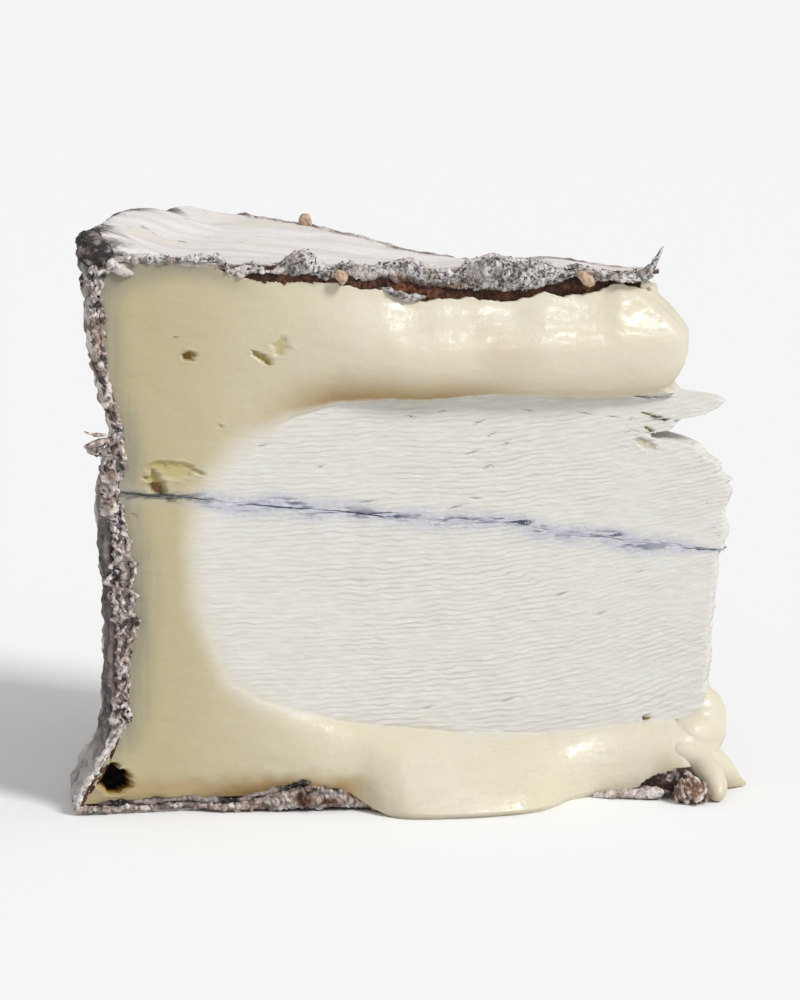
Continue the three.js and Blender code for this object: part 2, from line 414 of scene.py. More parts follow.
def curd_finish():
    shader = new_finish("curd")
    cloud = grain(45)
    fine = grain(900, stretch=(0.45, 0.45, 1.6), detail=4)
    ripe, aged, hollow, wet = (mark(name) for name in ("ripe", "aged", "hollow", "wet"))
    core = blended(cloud, "d3d1cb", "d0cdc7")
    # The ridges' grooves get painted shade.
    core = coats(core, (between(fine, 0.35, 0.7), "d8d6d1"), ("groove_shade", "bdb9b0"))
    drift = times(between(grain(22, detail=2), 0.45, 0.7, 0.0, 0.5), aged)
    cream = blended(between(cloud, 0.3, 0.7), "d1c9b0", "d5cebb")
    # ochre is painted shade under the overhanging roll, plus ochre stains low on the cut
    cream = coats(cream, (aged, "b5a985"), (drift, "bfae93"), ("ochre", "a38757"))
    bloom, strand = ash_strands()
    colour = coats(
        blended(ripe, core, cream), ("edge", "8e8b77"),
        (between(hollow, 0.0, 0.4), "b5a670"), (between(hollow, 0.38, 0.62), "8f6420"),
        # Near black in the deepest pits: painted shade.
        (between(hollow, 0.75, 1.0), "120b05"),
        (bloom, "a9adc0"), (strand, blended(aged, "434760", "2b3026")),
    )
    shine = between(grain(700, stretch=(0.5, 0.5, 1.4), detail=4), 0.4, 0.6, 0.31, 0.58)
    glossy = times(ripe, between(hollow, 0.0, 0.3, 1.0, 0.1))
    gloss = node("ShaderNodeMix", {0: glossy, 2: 0.85, 3: shine}, data_type="FLOAT")
    dry = times(fine, between(ripe, 0.2, 0.8, 1.0, 0.0))
    moist = times(grain(480), plus(between(ripe, 0.2, 0.8, 0.0, 0.9), times(wet, 0.1)))
    feed(shader, {
        "Base Color": colour, "Roughness": maths("SUBTRACT", gloss, times(wet, 0.12)),
        "Specular IOR Level": 0.5, "Subsurface Weight": 0.22, "Subsurface Radius": (1.0, 0.7, 0.35),
        "Subsurface Scale": 0.0010, "Normal": raised(plus(dry, moist), 0.4, 0.0004),
    })
    print("curd:", len(Tree.now.nodes), "nodes")


curd_finish()

# %% [markdown]
# The rind finish starts from white bloom with faint streaks. `crust` turns it to a crust with black,
# grey and white specks, `pink` is the washed flesh of the folds, `flesh` shows the brown inside where
# the rind is torn, and in some folds it is brown painted shade in the creases. `peach` is the new
# growth on a few nubs, and `grey` is the wall of the wheel, painted darker in the hollows of its folds
# as shade. `crease_shade` paints dark shade into the creases, and `mould` is black; on the wall by the front
# cut it is painted shade as well.

# %% The rind's finish
def rind_finish():
    shader = new_finish("rind")
    cloud = grain(60, detail=4)
    streak = grain(90, stretch=(0.3, 2.4, 2.4), detail=4)
    speck = grain(1700, roughness=0.6)
    fleck = grain(420)
    folds = grain(150, stretch=(1.0, 1.0, 1.9), detail=4, roughness=0.6)
    skin = blended(between(streak, 0.35, 0.7), "e4dfdd", "d3cdca")
    skin = blended(between(cloud, 0.5, 0.75), skin, "ddd5c8")
    pale = blended(between(cloud, 0.4, 0.6), "d9d5d2", "c3c0c1")
    dull = blended(between(speck, 0.42, 0.58), "57514d", "a39d98")
    crust = blended(between(speck, 0.37, 0.52), "3f3936", pale)
    crust = coats(crust, (between(fleck, 0.48, 0.6), dull), (between(fleck, 0.68, 0.72), "bda38d"))
    # Darker where the folds lower the bump: painted shade in the hollows of the wall's folds.
    side = blended(between(folds, 0.36, 0.56), "857d79", "b9b3af")
    side = blended(between(cloud, 0.44, 0.62, 0.0, 0.85), side, "d6d2ce")
    side = blended(between(fleck, 0.62, 0.7, 0.0, 0.4), side, "665c57")
    washed = blended(between(fleck, 0.42, 0.6), "e2d9d4", "bba89e")
    washed = blended(between(speck, 0.56, 0.64, 0.0, 0.6), washed, "7a6258")
    young = blended(between(speck, 0.45, 0.6), "cdb39c", "b8977b")
    torn = blended(between(fleck, 0.4, 0.66), "40291f", "6e4835")
    torn = blended(between(cloud, 0.55, 0.66), torn, "94603a")
    torn = blended(between(speck, 0.48, 0.6, 0.0, 0.75), torn, "291813")
    patchy = times(mark("mould"), between(speck, 0.28, 0.46))
    black = blended(between(fleck, 0.5, 0.68), "1c1817", "5b524d")
    colour = coats(
        skin, ("crust", crust), ("grey", side), ("pink", washed), ("peach", young), ("flesh", torn),
        # crease paints dark shade into the creases of the folds.
        ("crease_shade", "2e211c"), (patchy, black),
    )
    height = plus(speck, times(folds, mark("grey"), 3.0), times(streak, 0.6))
    bump = raised(height, 0.45, 0.0005)
    feed(shader, {"Base Color": colour, "Roughness": 0.88, "Specular IOR Level": 0.3, "Normal": bump})
    print("rind:", len(Tree.now.nodes), "nodes")


rind_finish()


# %% The ash's finish
def ash_finish():
    shader = new_finish("ash")
    powder = grain(1500, detail=4)
    aged = mark("aged")
    wisp = between(grain(300, stretch=(0.4, 0.4, 1.4), detail=4), 0.46, 0.54, 0.0, 0.92)
    pale = times(wisp, between(aged, 0.0, 1.0, 1.0, 0.15))
    colour = blended(between(powder, 0.35, 0.65), "383c4b", "6d7287")
    colour = coats(colour, (pale, "c3c4cd"), (times(aged, 0.75), "2b2f29"))
    feed(shader, {"Base Color": colour, "Roughness": 0.95, "Normal": raised(powder, 0.5, 0.0003)})


ash_finish()

# %% [markdown]
# ## Where the layers lie on the cut
#
# These curves are the plan of the cut face. Heights are given against radius, and radii against
# height, so each curve can be read off the section like a chart. The tip's outline is ragged and the
# underside lies flat on the board, so they are made of straight stretches, and the others are smooth.

# %% Plan of the cut face
ash_height = through(
    (0, 35.4), (7, 36.1), (19, 37.8), (28, 39.4), (37, 41.2), (52, 42.2), (67, 44.3), (82, 45.9),
    (89, 46.9), (97, 48),
)
cream_top = through(
    (9, 75.6), (14.2, 74.9), (16.4, 75.2), (19.5, 76), (22.5, 74.9), (28, 74.4), (31.4, 74.6),
    (35.6, 73.6), (40, 74.1), (46, 74.3), (52, 74.5), (54.5, 75.7), (58, 76.2), (62, 77), (68, 77.2),
    (73, 77.6), (76, 78.2), (80, 79.7), (91, 80.1), (98, 79.6),
)
cream_bottom = straight(
    (-1, 0.6), (4.5, 1.6), (6, 3.2), (9, 4.4), (12, 4.2), (14.5, 2.6), (17, 1.4), (21, 0.5), (26, 0),
    (55.5, 0), (58, 1), (61, 2.8), (66, 3.4), (71, 2.6), (76, 1.9), (92, 1.6), (98, 1.6),
)
rind_border = through(
    (-2, 99), (1.3, 99), (2.8, 98.6), (6, 96.6), (9, 94.9), (14, 93), (20, 92.5), (31.6, 91.6),
    (37.5, 92), (43, 93.1), (48, 93.6), (51, 93), (56, 93.5), (62, 94.9), (70, 95.9), (79, 96.1),
    (82, 96),
)
upper_tip = straight(
    (35, 2.9), (36.5, 3.2), (38.8, 2.8), (41, 3.3), (42.5, 2.7), (44.8, 1.9), (45.7, 2.9), (46.4, 2),
    (47.1, 3.6), (48.7, 4), (50, 6.6), (51.4, 7.5), (52.4, 11.4), (53, 14.4), (53.6, 14.6), (53.9, 12),
    (54.6, 11.1), (55.5, 10.9), (56.1, 6.4), (57, 4.4), (58, 3.2), (58.4, 3.9), (58.8, 5.6), (59.1, 10.6),
    (61.2, 11.7), (62.9, 10.3), (64.7, 9.3), (68.2, 9.2), (70, 10.5), (71.8, 12.2), (73.7, 14.2),
    (76, 14),
)
lower_tip = straight(
    (-1, 5), (6.6, 5.2), (8.4, 5.8), (10.2, 5.9), (12.1, 5.7), (14, 5.5), (15.9, 5.6), (19, 5.3),
    (25, 5.1), (28.6, 4.6), (34, 4.2), (36.5, 4),
)
CORE_BORDER = np.array([
    (-3, 14.5), (4.6, 15.2), (6.6, 10.6), (14, 10.2), (30, 9.2), (45, 10), (60, 12), (67, 14), (73, 16),
    (77.6, 19), (79.7, 24), (82, 31), (82.5, 38.6), (81.7, 46), (79.5, 50.2), (74.4, 54.5), (68.5, 57.5),
    (62.6, 59.2), (57, 59.7), (48, 59.6), (37, 60), (22, 59.2), (11.7, 59.6), (-3, 60.4),
], float)


# Along the outside of the section: radius, height and thickness of the rind.
OUTLINE = np.array([
    (15, 77.4, 0.9), (18.5, 77.5, 1.5), (24, 77.7, 2.4), (34, 79, 4.2), (46, 78.6, 3.8), (56, 79, 3.2),
    (63, 79.3, 2.4), (70, 79.7, 1.9), (80, 80.3, 0.9), (88, 80.7, 0.7), (93.5, 81, 0.8), (96.2, 80.6, 1),
    (97.3, 78.8, 1), (97.2, 74, 0.8), (96.8, 68, 0.6), (95, 61, 0.6), (93.9, 55.5, 0.7),
    (94.5, 50.5, 1.3), (96, 46.5, 2.6), (95.8, 41, 3.4), (95.4, 34, 3.6), (95.2, 24, 3), (95.2, 15, 2.5),
    (95.8, 10.5, 1.7), (97.6, 6, 1.3), (99.6, 2.8, 1.1), (100.3, 1.3, 1), (99.4, 0.25, 1),
    (95, 0.05, 1.2), (80, 0.05, 1.5), (50, 0.05, 1.7), (20, 0.05, 1.7), (6, 0.05, 1.7),
])
WALL = slice(10, 27)  # the side wall's stretch of the outline


def wall_radius(z):
    return np.interp(z, OUTLINE[WALL, 1][::-1], OUTLINE[WALL, 0][::-1])


def off_segment(r, z, start, end):
    """Distance from a point to a segment, and how far along the segment the nearest point is."""
    (r0, z0), (r1, z1) = start, end
    length = (r1 - r0) ** 2 + (z1 - z0) ** 2 + 1e-9
    share = np.clip(((r - r0) * (r1 - r0) + (z - z0) * (z1 - z0)) / length, 0, 1)
    return np.hypot(r - r0 - share * (r1 - r0), z - z0 - share * (z1 - z0)), share


def outside_core(r, z):
    """Distance in mm out of the chalky core; negative inside it."""
    near = np.full(np.shape(r), 1e9)
    inside = np.zeros(np.shape(r), bool)
    for start, end in zip(CORE_BORDER, np.roll(CORE_BORDER, -1, axis=0)):
        near = np.minimum(near, off_segment(r, z, start, end)[0])
        crosses = (start[1] > z) != (end[1] > z)
        slope = (end[0] - start[0]) / (end[1] - start[1] + 1e-12)
        inside ^= crosses & (r < start[0] + (z - start[1]) * slope)
    return np.where(inside, -near, near)


def core_roof(r):
    return np.interp(r, CORE_BORDER[:11:-1, 0], CORE_BORDER[:11:-1, 1])


def core_floor(r):
    return np.interp(r, CORE_BORDER[2:12, 0], CORE_BORDER[2:12, 1])


# %% [markdown]
# ## The relief of a cut
#
# The knife drags on chalky curd and leaves fine ridges, less than a millimetre apart, that run nearly
# level and climb towards the tip low on the right. Cream closes over after the cut: it has no
# ridges, only soft swellings and a few eyes. Above the core it bulges out in a roll, and below it
# the cream has run out in a tongue, whose foot spreads over the board. Each is a share of the same
# relief, chosen by how ripe the curd is.

# %% Eyes, tears and cracks
# Each hollow: start and end in radius and height, half width, depth.
HOLLOWS = [
    (83.5, 66.7, 82.7, 67, 0.72, 1.45), (73.7, 67.2, 73.1, 66.8, 0.5, 0.75),
    (72.9, 66.7, 71.9, 66, 0.55, 0.8), (71.9, 65.9, 71.6, 65.4, 0.35, 0.9),
    (70, 67.4, 69.8, 68.6, 1.15, 0.34), (85.2, 69.6, 85.1, 69.6, 0.2, 0.4),
    (89.2, 50.6, 88, 51.3, 0.5, 0.4), (88, 51.2, 86.4, 50.8, 0.75, 0.5),
    (86.2, 51.4, 84.8, 50.6, 0.5, 0.45), (84.8, 51.1, 83, 50.6, 0.55, 0.4),
    (83, 50.4, 81.2, 49.6, 0.35, 0.35), (88.5, 50.2, 88.2, 48.4, 0.65, 1),
    (88.5, 48.2, 87.2, 47.2, 0.9, 1.6), (86.6, 49.9, 83.4, 49.9, 0.8, 0.32),
    (89.6, 49.4, 89, 48.9, 0.3, 0.5), (15.9, 56.8, 14.2, 56.2, 0.16, 0.5),
    (14.2, 56.2, 12.3, 55.5, 0.24, 0.6), (15.3, 54.5, 14.4, 53.9, 0.25, 0.6),
    (16.2, 52.4, 14.2, 51.6, 0.8, 0.3), (78.4, 56.9, 78.3, 56.2, 0.25, 0.4),
    (91.5, 44.2, 91.3, 43.6, 0.2, 0.4), (15.1, 10.9, 14.7, 10.6, 0.42, 1.1),
    (10.1, 10, 9.7, 10.3, 0.36, 1), (95.8, 5.5, 94.6, 6.9, 1, 5.5), (95.8, 4.7, 93.2, 5.5, 1.3, 6),
    (95, 3.5, 92.8, 4.3, 1, 5),
]
BACK_HOLLOWS = [
    (79.8, 63.2, 78.9, 63.5, 0.8, 1.4), (64.6, 68.8, 64, 68.5, 0.6, 1), (88.2, 31, 87.4, 31.4, 0.7, 1.3),
    (72.4, 6.9, 71.6, 7.1, 0.6, 1.1), (84.9, 52.4, 82.4, 52, 0.8, 0.6),
    (30.2, 66.4, 29.8, 66.5, 0.45, 0.8),
]
# Each crack: middle in radius and height, half length, tilt in degrees.
CRACKS = [
    (40.6, 56, 1.6, 24), (38.6, 54.2, 1.4, 28), (41.5, 51.6, 1.8, 18), (39.2, 49.4, 1.3, 30),
    (36.4, 52.8, 0.9, 35), (50.5, 57.2, 1.5, -8), (46, 57.8, 1, 10), (33, 57.6, 1.4, -12),
    (24.6, 56.9, 1.8, -14), (20.5, 56.2, 1.4, -10), (57, 44.9, 1.6, 8), (44, 43.6, 2, 14),
    (41, 44.8, 1.2, -6), (72.5, 53.6, 1.2, 12), (64, 50.2, 1, 20), (36, 14.4, 1.6, 22),
    (48, 13.8, 1.5, 18), (28, 30, 1.6, 22), (22, 27, 1.4, 20), (16, 33, 1.2, 18),
]


def hollow_depth(r, z, ragged, hollows=HOLLOWS, cracks=CRACKS):
    """Depth in mm of the eyes, tears and cracks at a point of the cut; a low lip stands round them."""
    depth = np.zeros(np.shape(r))
    lip = np.zeros(np.shape(r))
    for r0, z0, r1, z1, half, deep in hollows:
        off, share = off_segment(r, z, (r0, z0), (r1, z1))
        off = off / (half * (0.75 + 0.35 * np.sin(np.pi * share)) * (1 + 0.45 * ragged))
        depth = np.maximum(depth, deep * smooth(1.15, 0.5, off))
        lip = np.maximum(lip, 0.12 * hump(1.0, 1.3, 1.9, off))
    for middle_r, middle_z, long, tilt in cracks:
        dr, dz = long * math.cos(math.radians(tilt)), long * math.sin(math.radians(tilt))
        ends = (middle_r + dr, middle_z - dz), (middle_r - dr, middle_z + dz)
        off, share = off_segment(r, z + 0.12 * ragged, *ends)
        depth = np.maximum(depth, 0.34 * smooth(0.2, 0.02, off) * hump(-0.1, 0.5, 1.1, share))
    return depth - lip * (depth < 0.05)


# %% Ridges, roll and tongue
roll_reach = through(
    (6, 1.5), (12, 3.2), (20, 4.4), (30, 4.8), (40, 4.9), (50, 4.9), (58, 4), (64, 2.4), (70, 1),
    (78, 0.1), (98, 0),
)
flow_reach = through(
    (-2, 1), (2, 1.2), (5.5, 2.4), (7.5, 4.6), (9.5, 5.9), (12, 5.8), (16, 4.6), (20, 3.9), (28, 6.2),
    (36, 9.6), (44, 10.4), (52, 9), (60, 5.6), (68, 2.9), (76, 0.9), (84, 0.1), (98, 0),
)
foot_reach = through(
    (-2, 1.5), (2, 1.6), (5, 2.6), (7, 4.4), (9, 6.3), (10.5, 6.6), (12, 6.3), (16, 4.8), (20, 3.9),
    (25, 3.9), (28, 5.8), (30.2, 8.8), (32.5, 11.4), (36, 13.3), (40, 14), (46, 14.1), (51, 13.6),
    (54, 12.6), (56.5, 10), (58.5, 7), (61, 5), (66, 3.4), (72, 1.6), (78, 0.5), (84, 0.1), (98, 0),
)
RIDGE_SPACING, RIDGE_HEIGHT = 0.76, 0.135


def ridges(points, r, z, seed):
    """The knife's marks on chalky curd: their height in mm, and how much painted shade their grooves get."""
    rise = 0.0045 * np.maximum(0, 50 - r) ** 2 * (0.5 + 0.5 * hump(4, 24, 50, z))
    warp = 0.5 * noise(points, 14, seed + 1) + 0.22 * noise(points, (5, 5, 3), seed + 2)
    level = z - rise + warp + 0.1 * noise(points, (2.6, 2.6, 1.3), seed + 7)
    turn = level / RIDGE_SPACING + 0.3 * noise(points, (4, 4, 1.6), seed + 5)
    turn = turn + 0.26 * noise(points, (1.6, 2, 0.8), seed + 15)
    turn = turn - np.floor(turn)
    drag = smooth(0.0, 0.3, turn) - turn  # the blade leaves the lower side of each ridge steep
    drawn = np.stack([points[..., 0] * 0.22, points[..., 1] * 0.22, level], -1)
    strands = noise(drawn, 0.5, seed + 3) + 0.5 * noise(drawn, 0.3, seed + 4)
    patch = 0.5 + 0.45 * noise(points, (9, 9, 4), seed + 6) + 0.35 * noise(points, (3, 3, 1.2), seed + 16)
    patch = np.clip(patch, 0.08, 1.1) * (1 - 0.45 * smooth(45, 80, r))
    return patch * (RIDGE_HEIGHT * drag + 0.05 * strands), patch * 0.9 * hump(-0.05, 0.1, 0.42, turn)


def upper_roll(r, z):
    """The roll of cream over the core: how high a point is in it (0 to 1), its reach and its sag."""
    above = np.clip((z - core_roof(r)) / (cream_top(r) - core_roof(r)), 0, 1)
    start = 0.12 + 0.22 * smooth(46, 32, r)
    under = start + (1 - start) * np.sin(0.5 * np.pi * np.clip(above / 0.46, 0, 1)) ** 0.85
    belly = np.where(above < 0.46, under, 1 - 0.8 * smooth(0.46, 1.05, above))
    sag = 0.2 * roll_reach(r) * hump(0, 0.16, 0.5, above)
    return above, roll_reach(r) * belly * (z > core_roof(r)), sag


def tongue(r, z):
    """The tongue below the core: a soft flow, and a foot that spreads over the board."""
    below = np.clip(z / core_floor(r), 0, 1)
    flow = flow_reach(r) * (1 - below**1.7) ** 0.62
    foot = (foot_reach(r) - flow_reach(r)) * (1 - below) ** 1.1
    tuck = 1 - 0.10 * (1 - smooth(0, 0.1, below))
    return (flow + foot) * tuck * (z < core_floor(r))


def relief(r, z, reach, seed):
    """How far the cut stands out (mm), how far it hangs (mm), and the marks, for a share of full flow."""
    flat = np.stack([-r, np.full(np.shape(r), 40.0 * seed), z], -1)
    out_of_core = outside_core(r, z) + 0.5 * noise(flat, 7, seed + 8) + 0.25 * noise(flat, 1.5, seed + 9)
    blur = 0.7 + 2.6 * smooth(60, 76, r)
    ripe = smooth(-blur, blur, out_of_core)
    above, roll_out, sag = upper_roll(r, z)
    swell = 0.28 * noise(flat, 16, seed + 10) + 0.09 * noise(flat, (7, 7, 4), seed + 11)
    swell = swell + 0.04 * noise(flat, (4.5, 4.5, 1.4), seed + 12, octaves=2)
    ragged = 0.7 * noise(flat, 0.9, seed + 13, octaves=2) + 0.6 * noise(flat, 2.2, seed + 19)
    hollow = hollow_depth(r, z, ragged) if reach == 1 else hollow_depth(r, z, ragged, BACK_HOLLOWS, [])
    drag, groove_shade = ridges(flat, r, z, seed)
    chalk = drag + 0.12 * noise(flat, 9, seed + 14)
    out = reach * (roll_out + tongue(r, z)) + ripe * swell + (1 - ripe) * chalk - hollow
    # Painted shade under the roll, where the cream hangs over the core, strongest between radii 47 and 60.
    shaded = smooth(0.4, 0.05, above) * smooth(78, 60, r) * (z > core_roof(r))
    shaded = shaded * (0.25 + 0.75 * smooth(30, 47, r))
    stained = smooth(6.0, 3.5, z + 1.2 * noise(flat, 3, seed + 17)) * smooth(56, 62, r)
    stained = stained * (1 - 0.45 * smooth(74, 84, r))
    stained = stained + 0.4 * hump(9.5, 12.5, 16, r) * hump(1.0, 4.0, 7.5, z)
    stained = stained + 0.2 * patches(flat, 12, seed + 16, 0.4, 0.9, 1)
    lengthwise = np.clip(0.8 + 0.5 * noise(flat, (0.9, 1, 12), seed + 18), 0.4, 1)
    at_rind = smooth(5.5, 0.5, rind_border(z) - r) * lengthwise * (1 - 0.55 * smooth(11, 7, z))
    # Grey of the cream under the crust, with painted shade added there.
    top_grey_and_shade = smooth(3.6 + 2.5 * smooth(84, 93, r), 0.4, cream_top(r) - z) * smooth(70, 84, r) * 0.9
    marks = {
        "ripe": ripe,
        "hollow": np.clip(smooth(0.1, 0.5, hollow) * 0.4 + 0.6 * smooth(0.9, 3.0, hollow), 0, 1),
        "aged": smooth(58, 90, r) * ripe,
        "ochre": np.clip(shaded + stained, 0, 1) * ripe,
        "edge": np.clip(at_rind + top_grey_and_shade, 0, 1),
        "groove_shade": groove_shade * (1 - ripe),
        "wet": ripe * smooth(12, 8, z) * hump(14, 30, 66, r),
        "from_ash": (z - ash_height(r)) / (1 - 0.75 * smooth(11, 5, r)),
    }
    return out, reach * sag, marks


# %% [markdown]
# ## The two layers of curd
#
# Each layer is one slab from cut to cut, with its cream and its core in one mesh. Two meshes would
# show a hard line where the real border is a soft change of colour. The front face is a fine grid,
# 0.12 mm from row to row so that it can hold the ridges, and the back has half as many rows.

# %% Make the layers
RIND_UNDER = 1.8  # the curd's underside lies on the rind, except where cream has run out over the board
BACK_REACH = 0.45  # the back cut has flowed less than the front
STEPS_INWARDS = 190
LOOPS_ACROSS = 12


def along_radius(r, size, seed, octaves=1):
    """Noise that changes only with the radius."""
    return noise(np.stack([-r, 0 * r, 0 * r], -1), size, seed, octaves)


def ribbon_half(r):
    """Half the thickness of the ash ribbon, in mm."""
    thick = 0.09 + 0.05 * smooth(80, 88, r) + 0.1 * np.clip(along_radius(r, 3, 3, 3), -0.9, 1.5)
    return np.maximum(0.04, thick)


def wobbled_ash(r):
    return ash_height(r) + 0.35 * along_radius(r, 9, 5, 3)


def ragged_top(r):
    """The cream's top edge is torn where the rind has lifted off it."""
    ragged = 0.4 * along_radius(r, 2.6, 6, 3) + 0.25 * along_radius(r, 0.9, 7)
    return cream_top(r) + ragged * smooth(76, 70, r)


def section_grid(rows, bottom, top, tip, seed):
    """Radius and height on a grid that fills a layer's part of the section."""
    u, v = np.meshgrid(np.linspace(0, 1, STEPS_INWARDS + 1), np.linspace(0, 1, rows + 1))
    z = v * WHEEL_HEIGHT
    inner = 8.0
    for _ in range(4):  # radius and height depend on each other, so a few rounds bring them together
        up = np.stack([0 * z, 0 * z, z], -1)
        ragged = tip(z) + 0.4 * noise(up, 1.3, seed, octaves=3) * smooth(60, 57, z)
        outer = np.minimum(rind_border(z) + 0.8, wall_radius(z) - 0.75)
        r = outer + u * (inner - outer) + smooth(0.8, 1, u) * (ragged - inner)
        z = bottom(r) + v * (top(r) - bottom(r))
    return r, z


def face(r, z, t, reach, seed):
    """A cut face with its relief: its points and marks."""
    out, hang, marks = relief(r, z, reach, seed)
    tip = np.where(z > wobbled_ash(r), upper_tip(z), lower_tip(z))
    round_off = 0.45 + 2.35 * marks["ripe"]
    close = np.clip(1 - (r - tip) / round_off, 0, 1)
    out = out - 0.9 * round_off * (1 - np.sqrt(1 - close**2))
    away = np.array([0, -1, 0]) if t == 0 else np.array([math.sin(WEDGE_ANGLE), math.cos(WEDGE_ANGLE), 0])
    return around(r, z - hang, t) + out[..., None] * away, marks


def layer(name, nodes, slot, rows, bottom, top, tip, seed):
    r, z = section_grid(rows, bottom, top, tip, seed)
    front, front_marks = face(r, z, 0, 1, seed)
    back, back_marks = face(r, z, 1, BACK_REACH, seed + 20)
    edge_r, edge_z = edge_of(r), edge_of(z)
    front_flow = edge_of(front) - around(edge_r, edge_z, 0)
    back_flow = edge_of(back) - around(edge_r, edge_z, 1)
    loops = []
    for t in np.linspace(0, 1, LOOPS_ACROSS + 2)[1:-1]:
        loop = around(edge_r, edge_z, t) + (1 - t) * front_flow + t * back_flow
        loop[:, 2] = np.maximum(loop[:, 2], RIND_UNDER * smooth(0, 0.12, min(t, 1 - t)))
        loop[:, 0] += 0.5 * noise(loop, 5, seed + 30, octaves=3) * smooth(20, 8, edge_r)
        loops.append(loop)
    points, faces = slab(front, loops, back[::2, ::2])
    marks = {}
    for mark_name, values in front_marks.items():
        rim = edge_of(values) * (0 if mark_name == "hollow" else 1)
        behind = back_marks[mark_name][::2, ::2].ravel()
        marks[mark_name] = np.concatenate([values.ravel(), *[rim] * len(loops), behind])
    return solid(name, points, faces, marks, "curd", slot, *nodes)


def ribbon_top(r):
    return wobbled_ash(r) + ribbon_half(r)


def ribbon_bottom(r):
    return wobbled_ash(r) - ribbon_half(r)


upper_nodes, lower_nodes = ("upper_creamline", "upper_core"), ("lower_creamline", "lower_core")
upper_curd = layer("upper_curd", upper_nodes, "creamline", 300, ribbon_top, ragged_top, upper_tip, 1)
layer("lower_curd", lower_nodes, "core", 340, cream_bottom, ribbon_bottom, lower_tip, 2)

# %% [markdown]
# ## The ribbon of ash
#
# The ash was dusted on the first layer of curd before the second was ladled over it. It is a thin,
# uneven ribbon, thickest near the rind, so its thickness comes from the same rule that left room for
# it between the layers.

# %% Make the ribbon
def ribbon():
    columns, rows = 500, 4
    outer_end, inner_end = rind_border(ash_height(50)) + 0.5, 3.1
    u, v = np.meshgrid(np.linspace(0, 1, columns + 1), np.linspace(-1, 1, rows + 1))
    r = outer_end + u * (inner_end - outer_end)
    z = wobbled_ash(r) + v * (ribbon_half(r) + 0.05)
    crumbly = noise(np.stack([-r, 0 * r, z], -1), (1.2, 1, 0.5), 8, octaves=2)
    back_from = 0.12 - 0.16 * crumbly - 0.1 * (1 - v**2)
    front, back = around(r, z, 0), around(r, z, 1)
    front[..., 1] += back_from
    back[..., 1] -= back_from
    loops = [around(edge_of(r), edge_of(z), t) for t in np.linspace(0, 1, 8)[1:-1]]
    points, faces = slab(front, loops, back[::2, ::2])
    aged = smooth(80, 87, np.hypot(points[:, 0], points[:, 1]))
    solid("ash_ribbon", points, faces, {"aged": aged}, "ash", "ash", "ash_line")


ribbon()

# %% [markdown]
# ## Folds that follow a path
#
# Dried crust and wrinkled rind follow the edges of the wedge. They could be sculpted one by one. A
# Geometry Nodes tree makes them alike: it sweeps a circle along a path, gives each point its place
# from the width and depth kept on the path, and pushes it out into round knobs with sharp creases,
# because that is what the absolute value of smooth noise looks like. The creases are kept as a mark,
# so that the finish can paint shade into them.

# %% Tree that sweeps a knobbly fold along a path
def new_tree(name, inputs):
    """Starts a Geometry Nodes tree and gives its named inputs."""
    Tree.now = bpy.data.node_groups.new(name, "GeometryNodeTree")
    Tree.now.interface.new_socket("Geometry", in_out="OUTPUT", socket_type="NodeSocketGeometry")
    for input_name, kind in inputs.items():
        Tree.now.interface.new_socket(input_name, in_out="INPUT", socket_type=f"NodeSocket{kind}")
    return Tree.now.nodes.new("NodeGroupInput").outputs


def finish_tree(geometry, finish):
    """Gives the geometry its finish and hands it to the tree's output."""
    real = node("GeometryNodeRealizeInstances", {"Geometry": geometry})
    finished = node("GeometryNodeSetMaterial", {"Geometry": real, "Material": finish})
    feed(Tree.now.nodes.new("NodeGroupOutput").inputs, {"Geometry": finished})
    print(f"{Tree.now.name}: {len(Tree.now.nodes)} nodes")
    return Tree.now


def vectors(operation, first, second):
    return node("ShaderNodeVectorMath", {0: first, 1: second}, operation=operation)


def scaled(vector, by):
    return node("ShaderNodeVectorMath", {0: vector, "Scale": by}, operation="SCALE")


def kept(name, kind="FLOAT"):
    return node("GeometryNodeInputNamedAttribute", {"Name": name}, data_type=kind)


def keep(geometry, name, value, kind="FLOAT", domain="POINT"):
    inputs = {"Geometry": geometry, "Name": name, "Value": value}
    return node("GeometryNodeStoreNamedAttribute", inputs, data_type=kind, domain=domain)


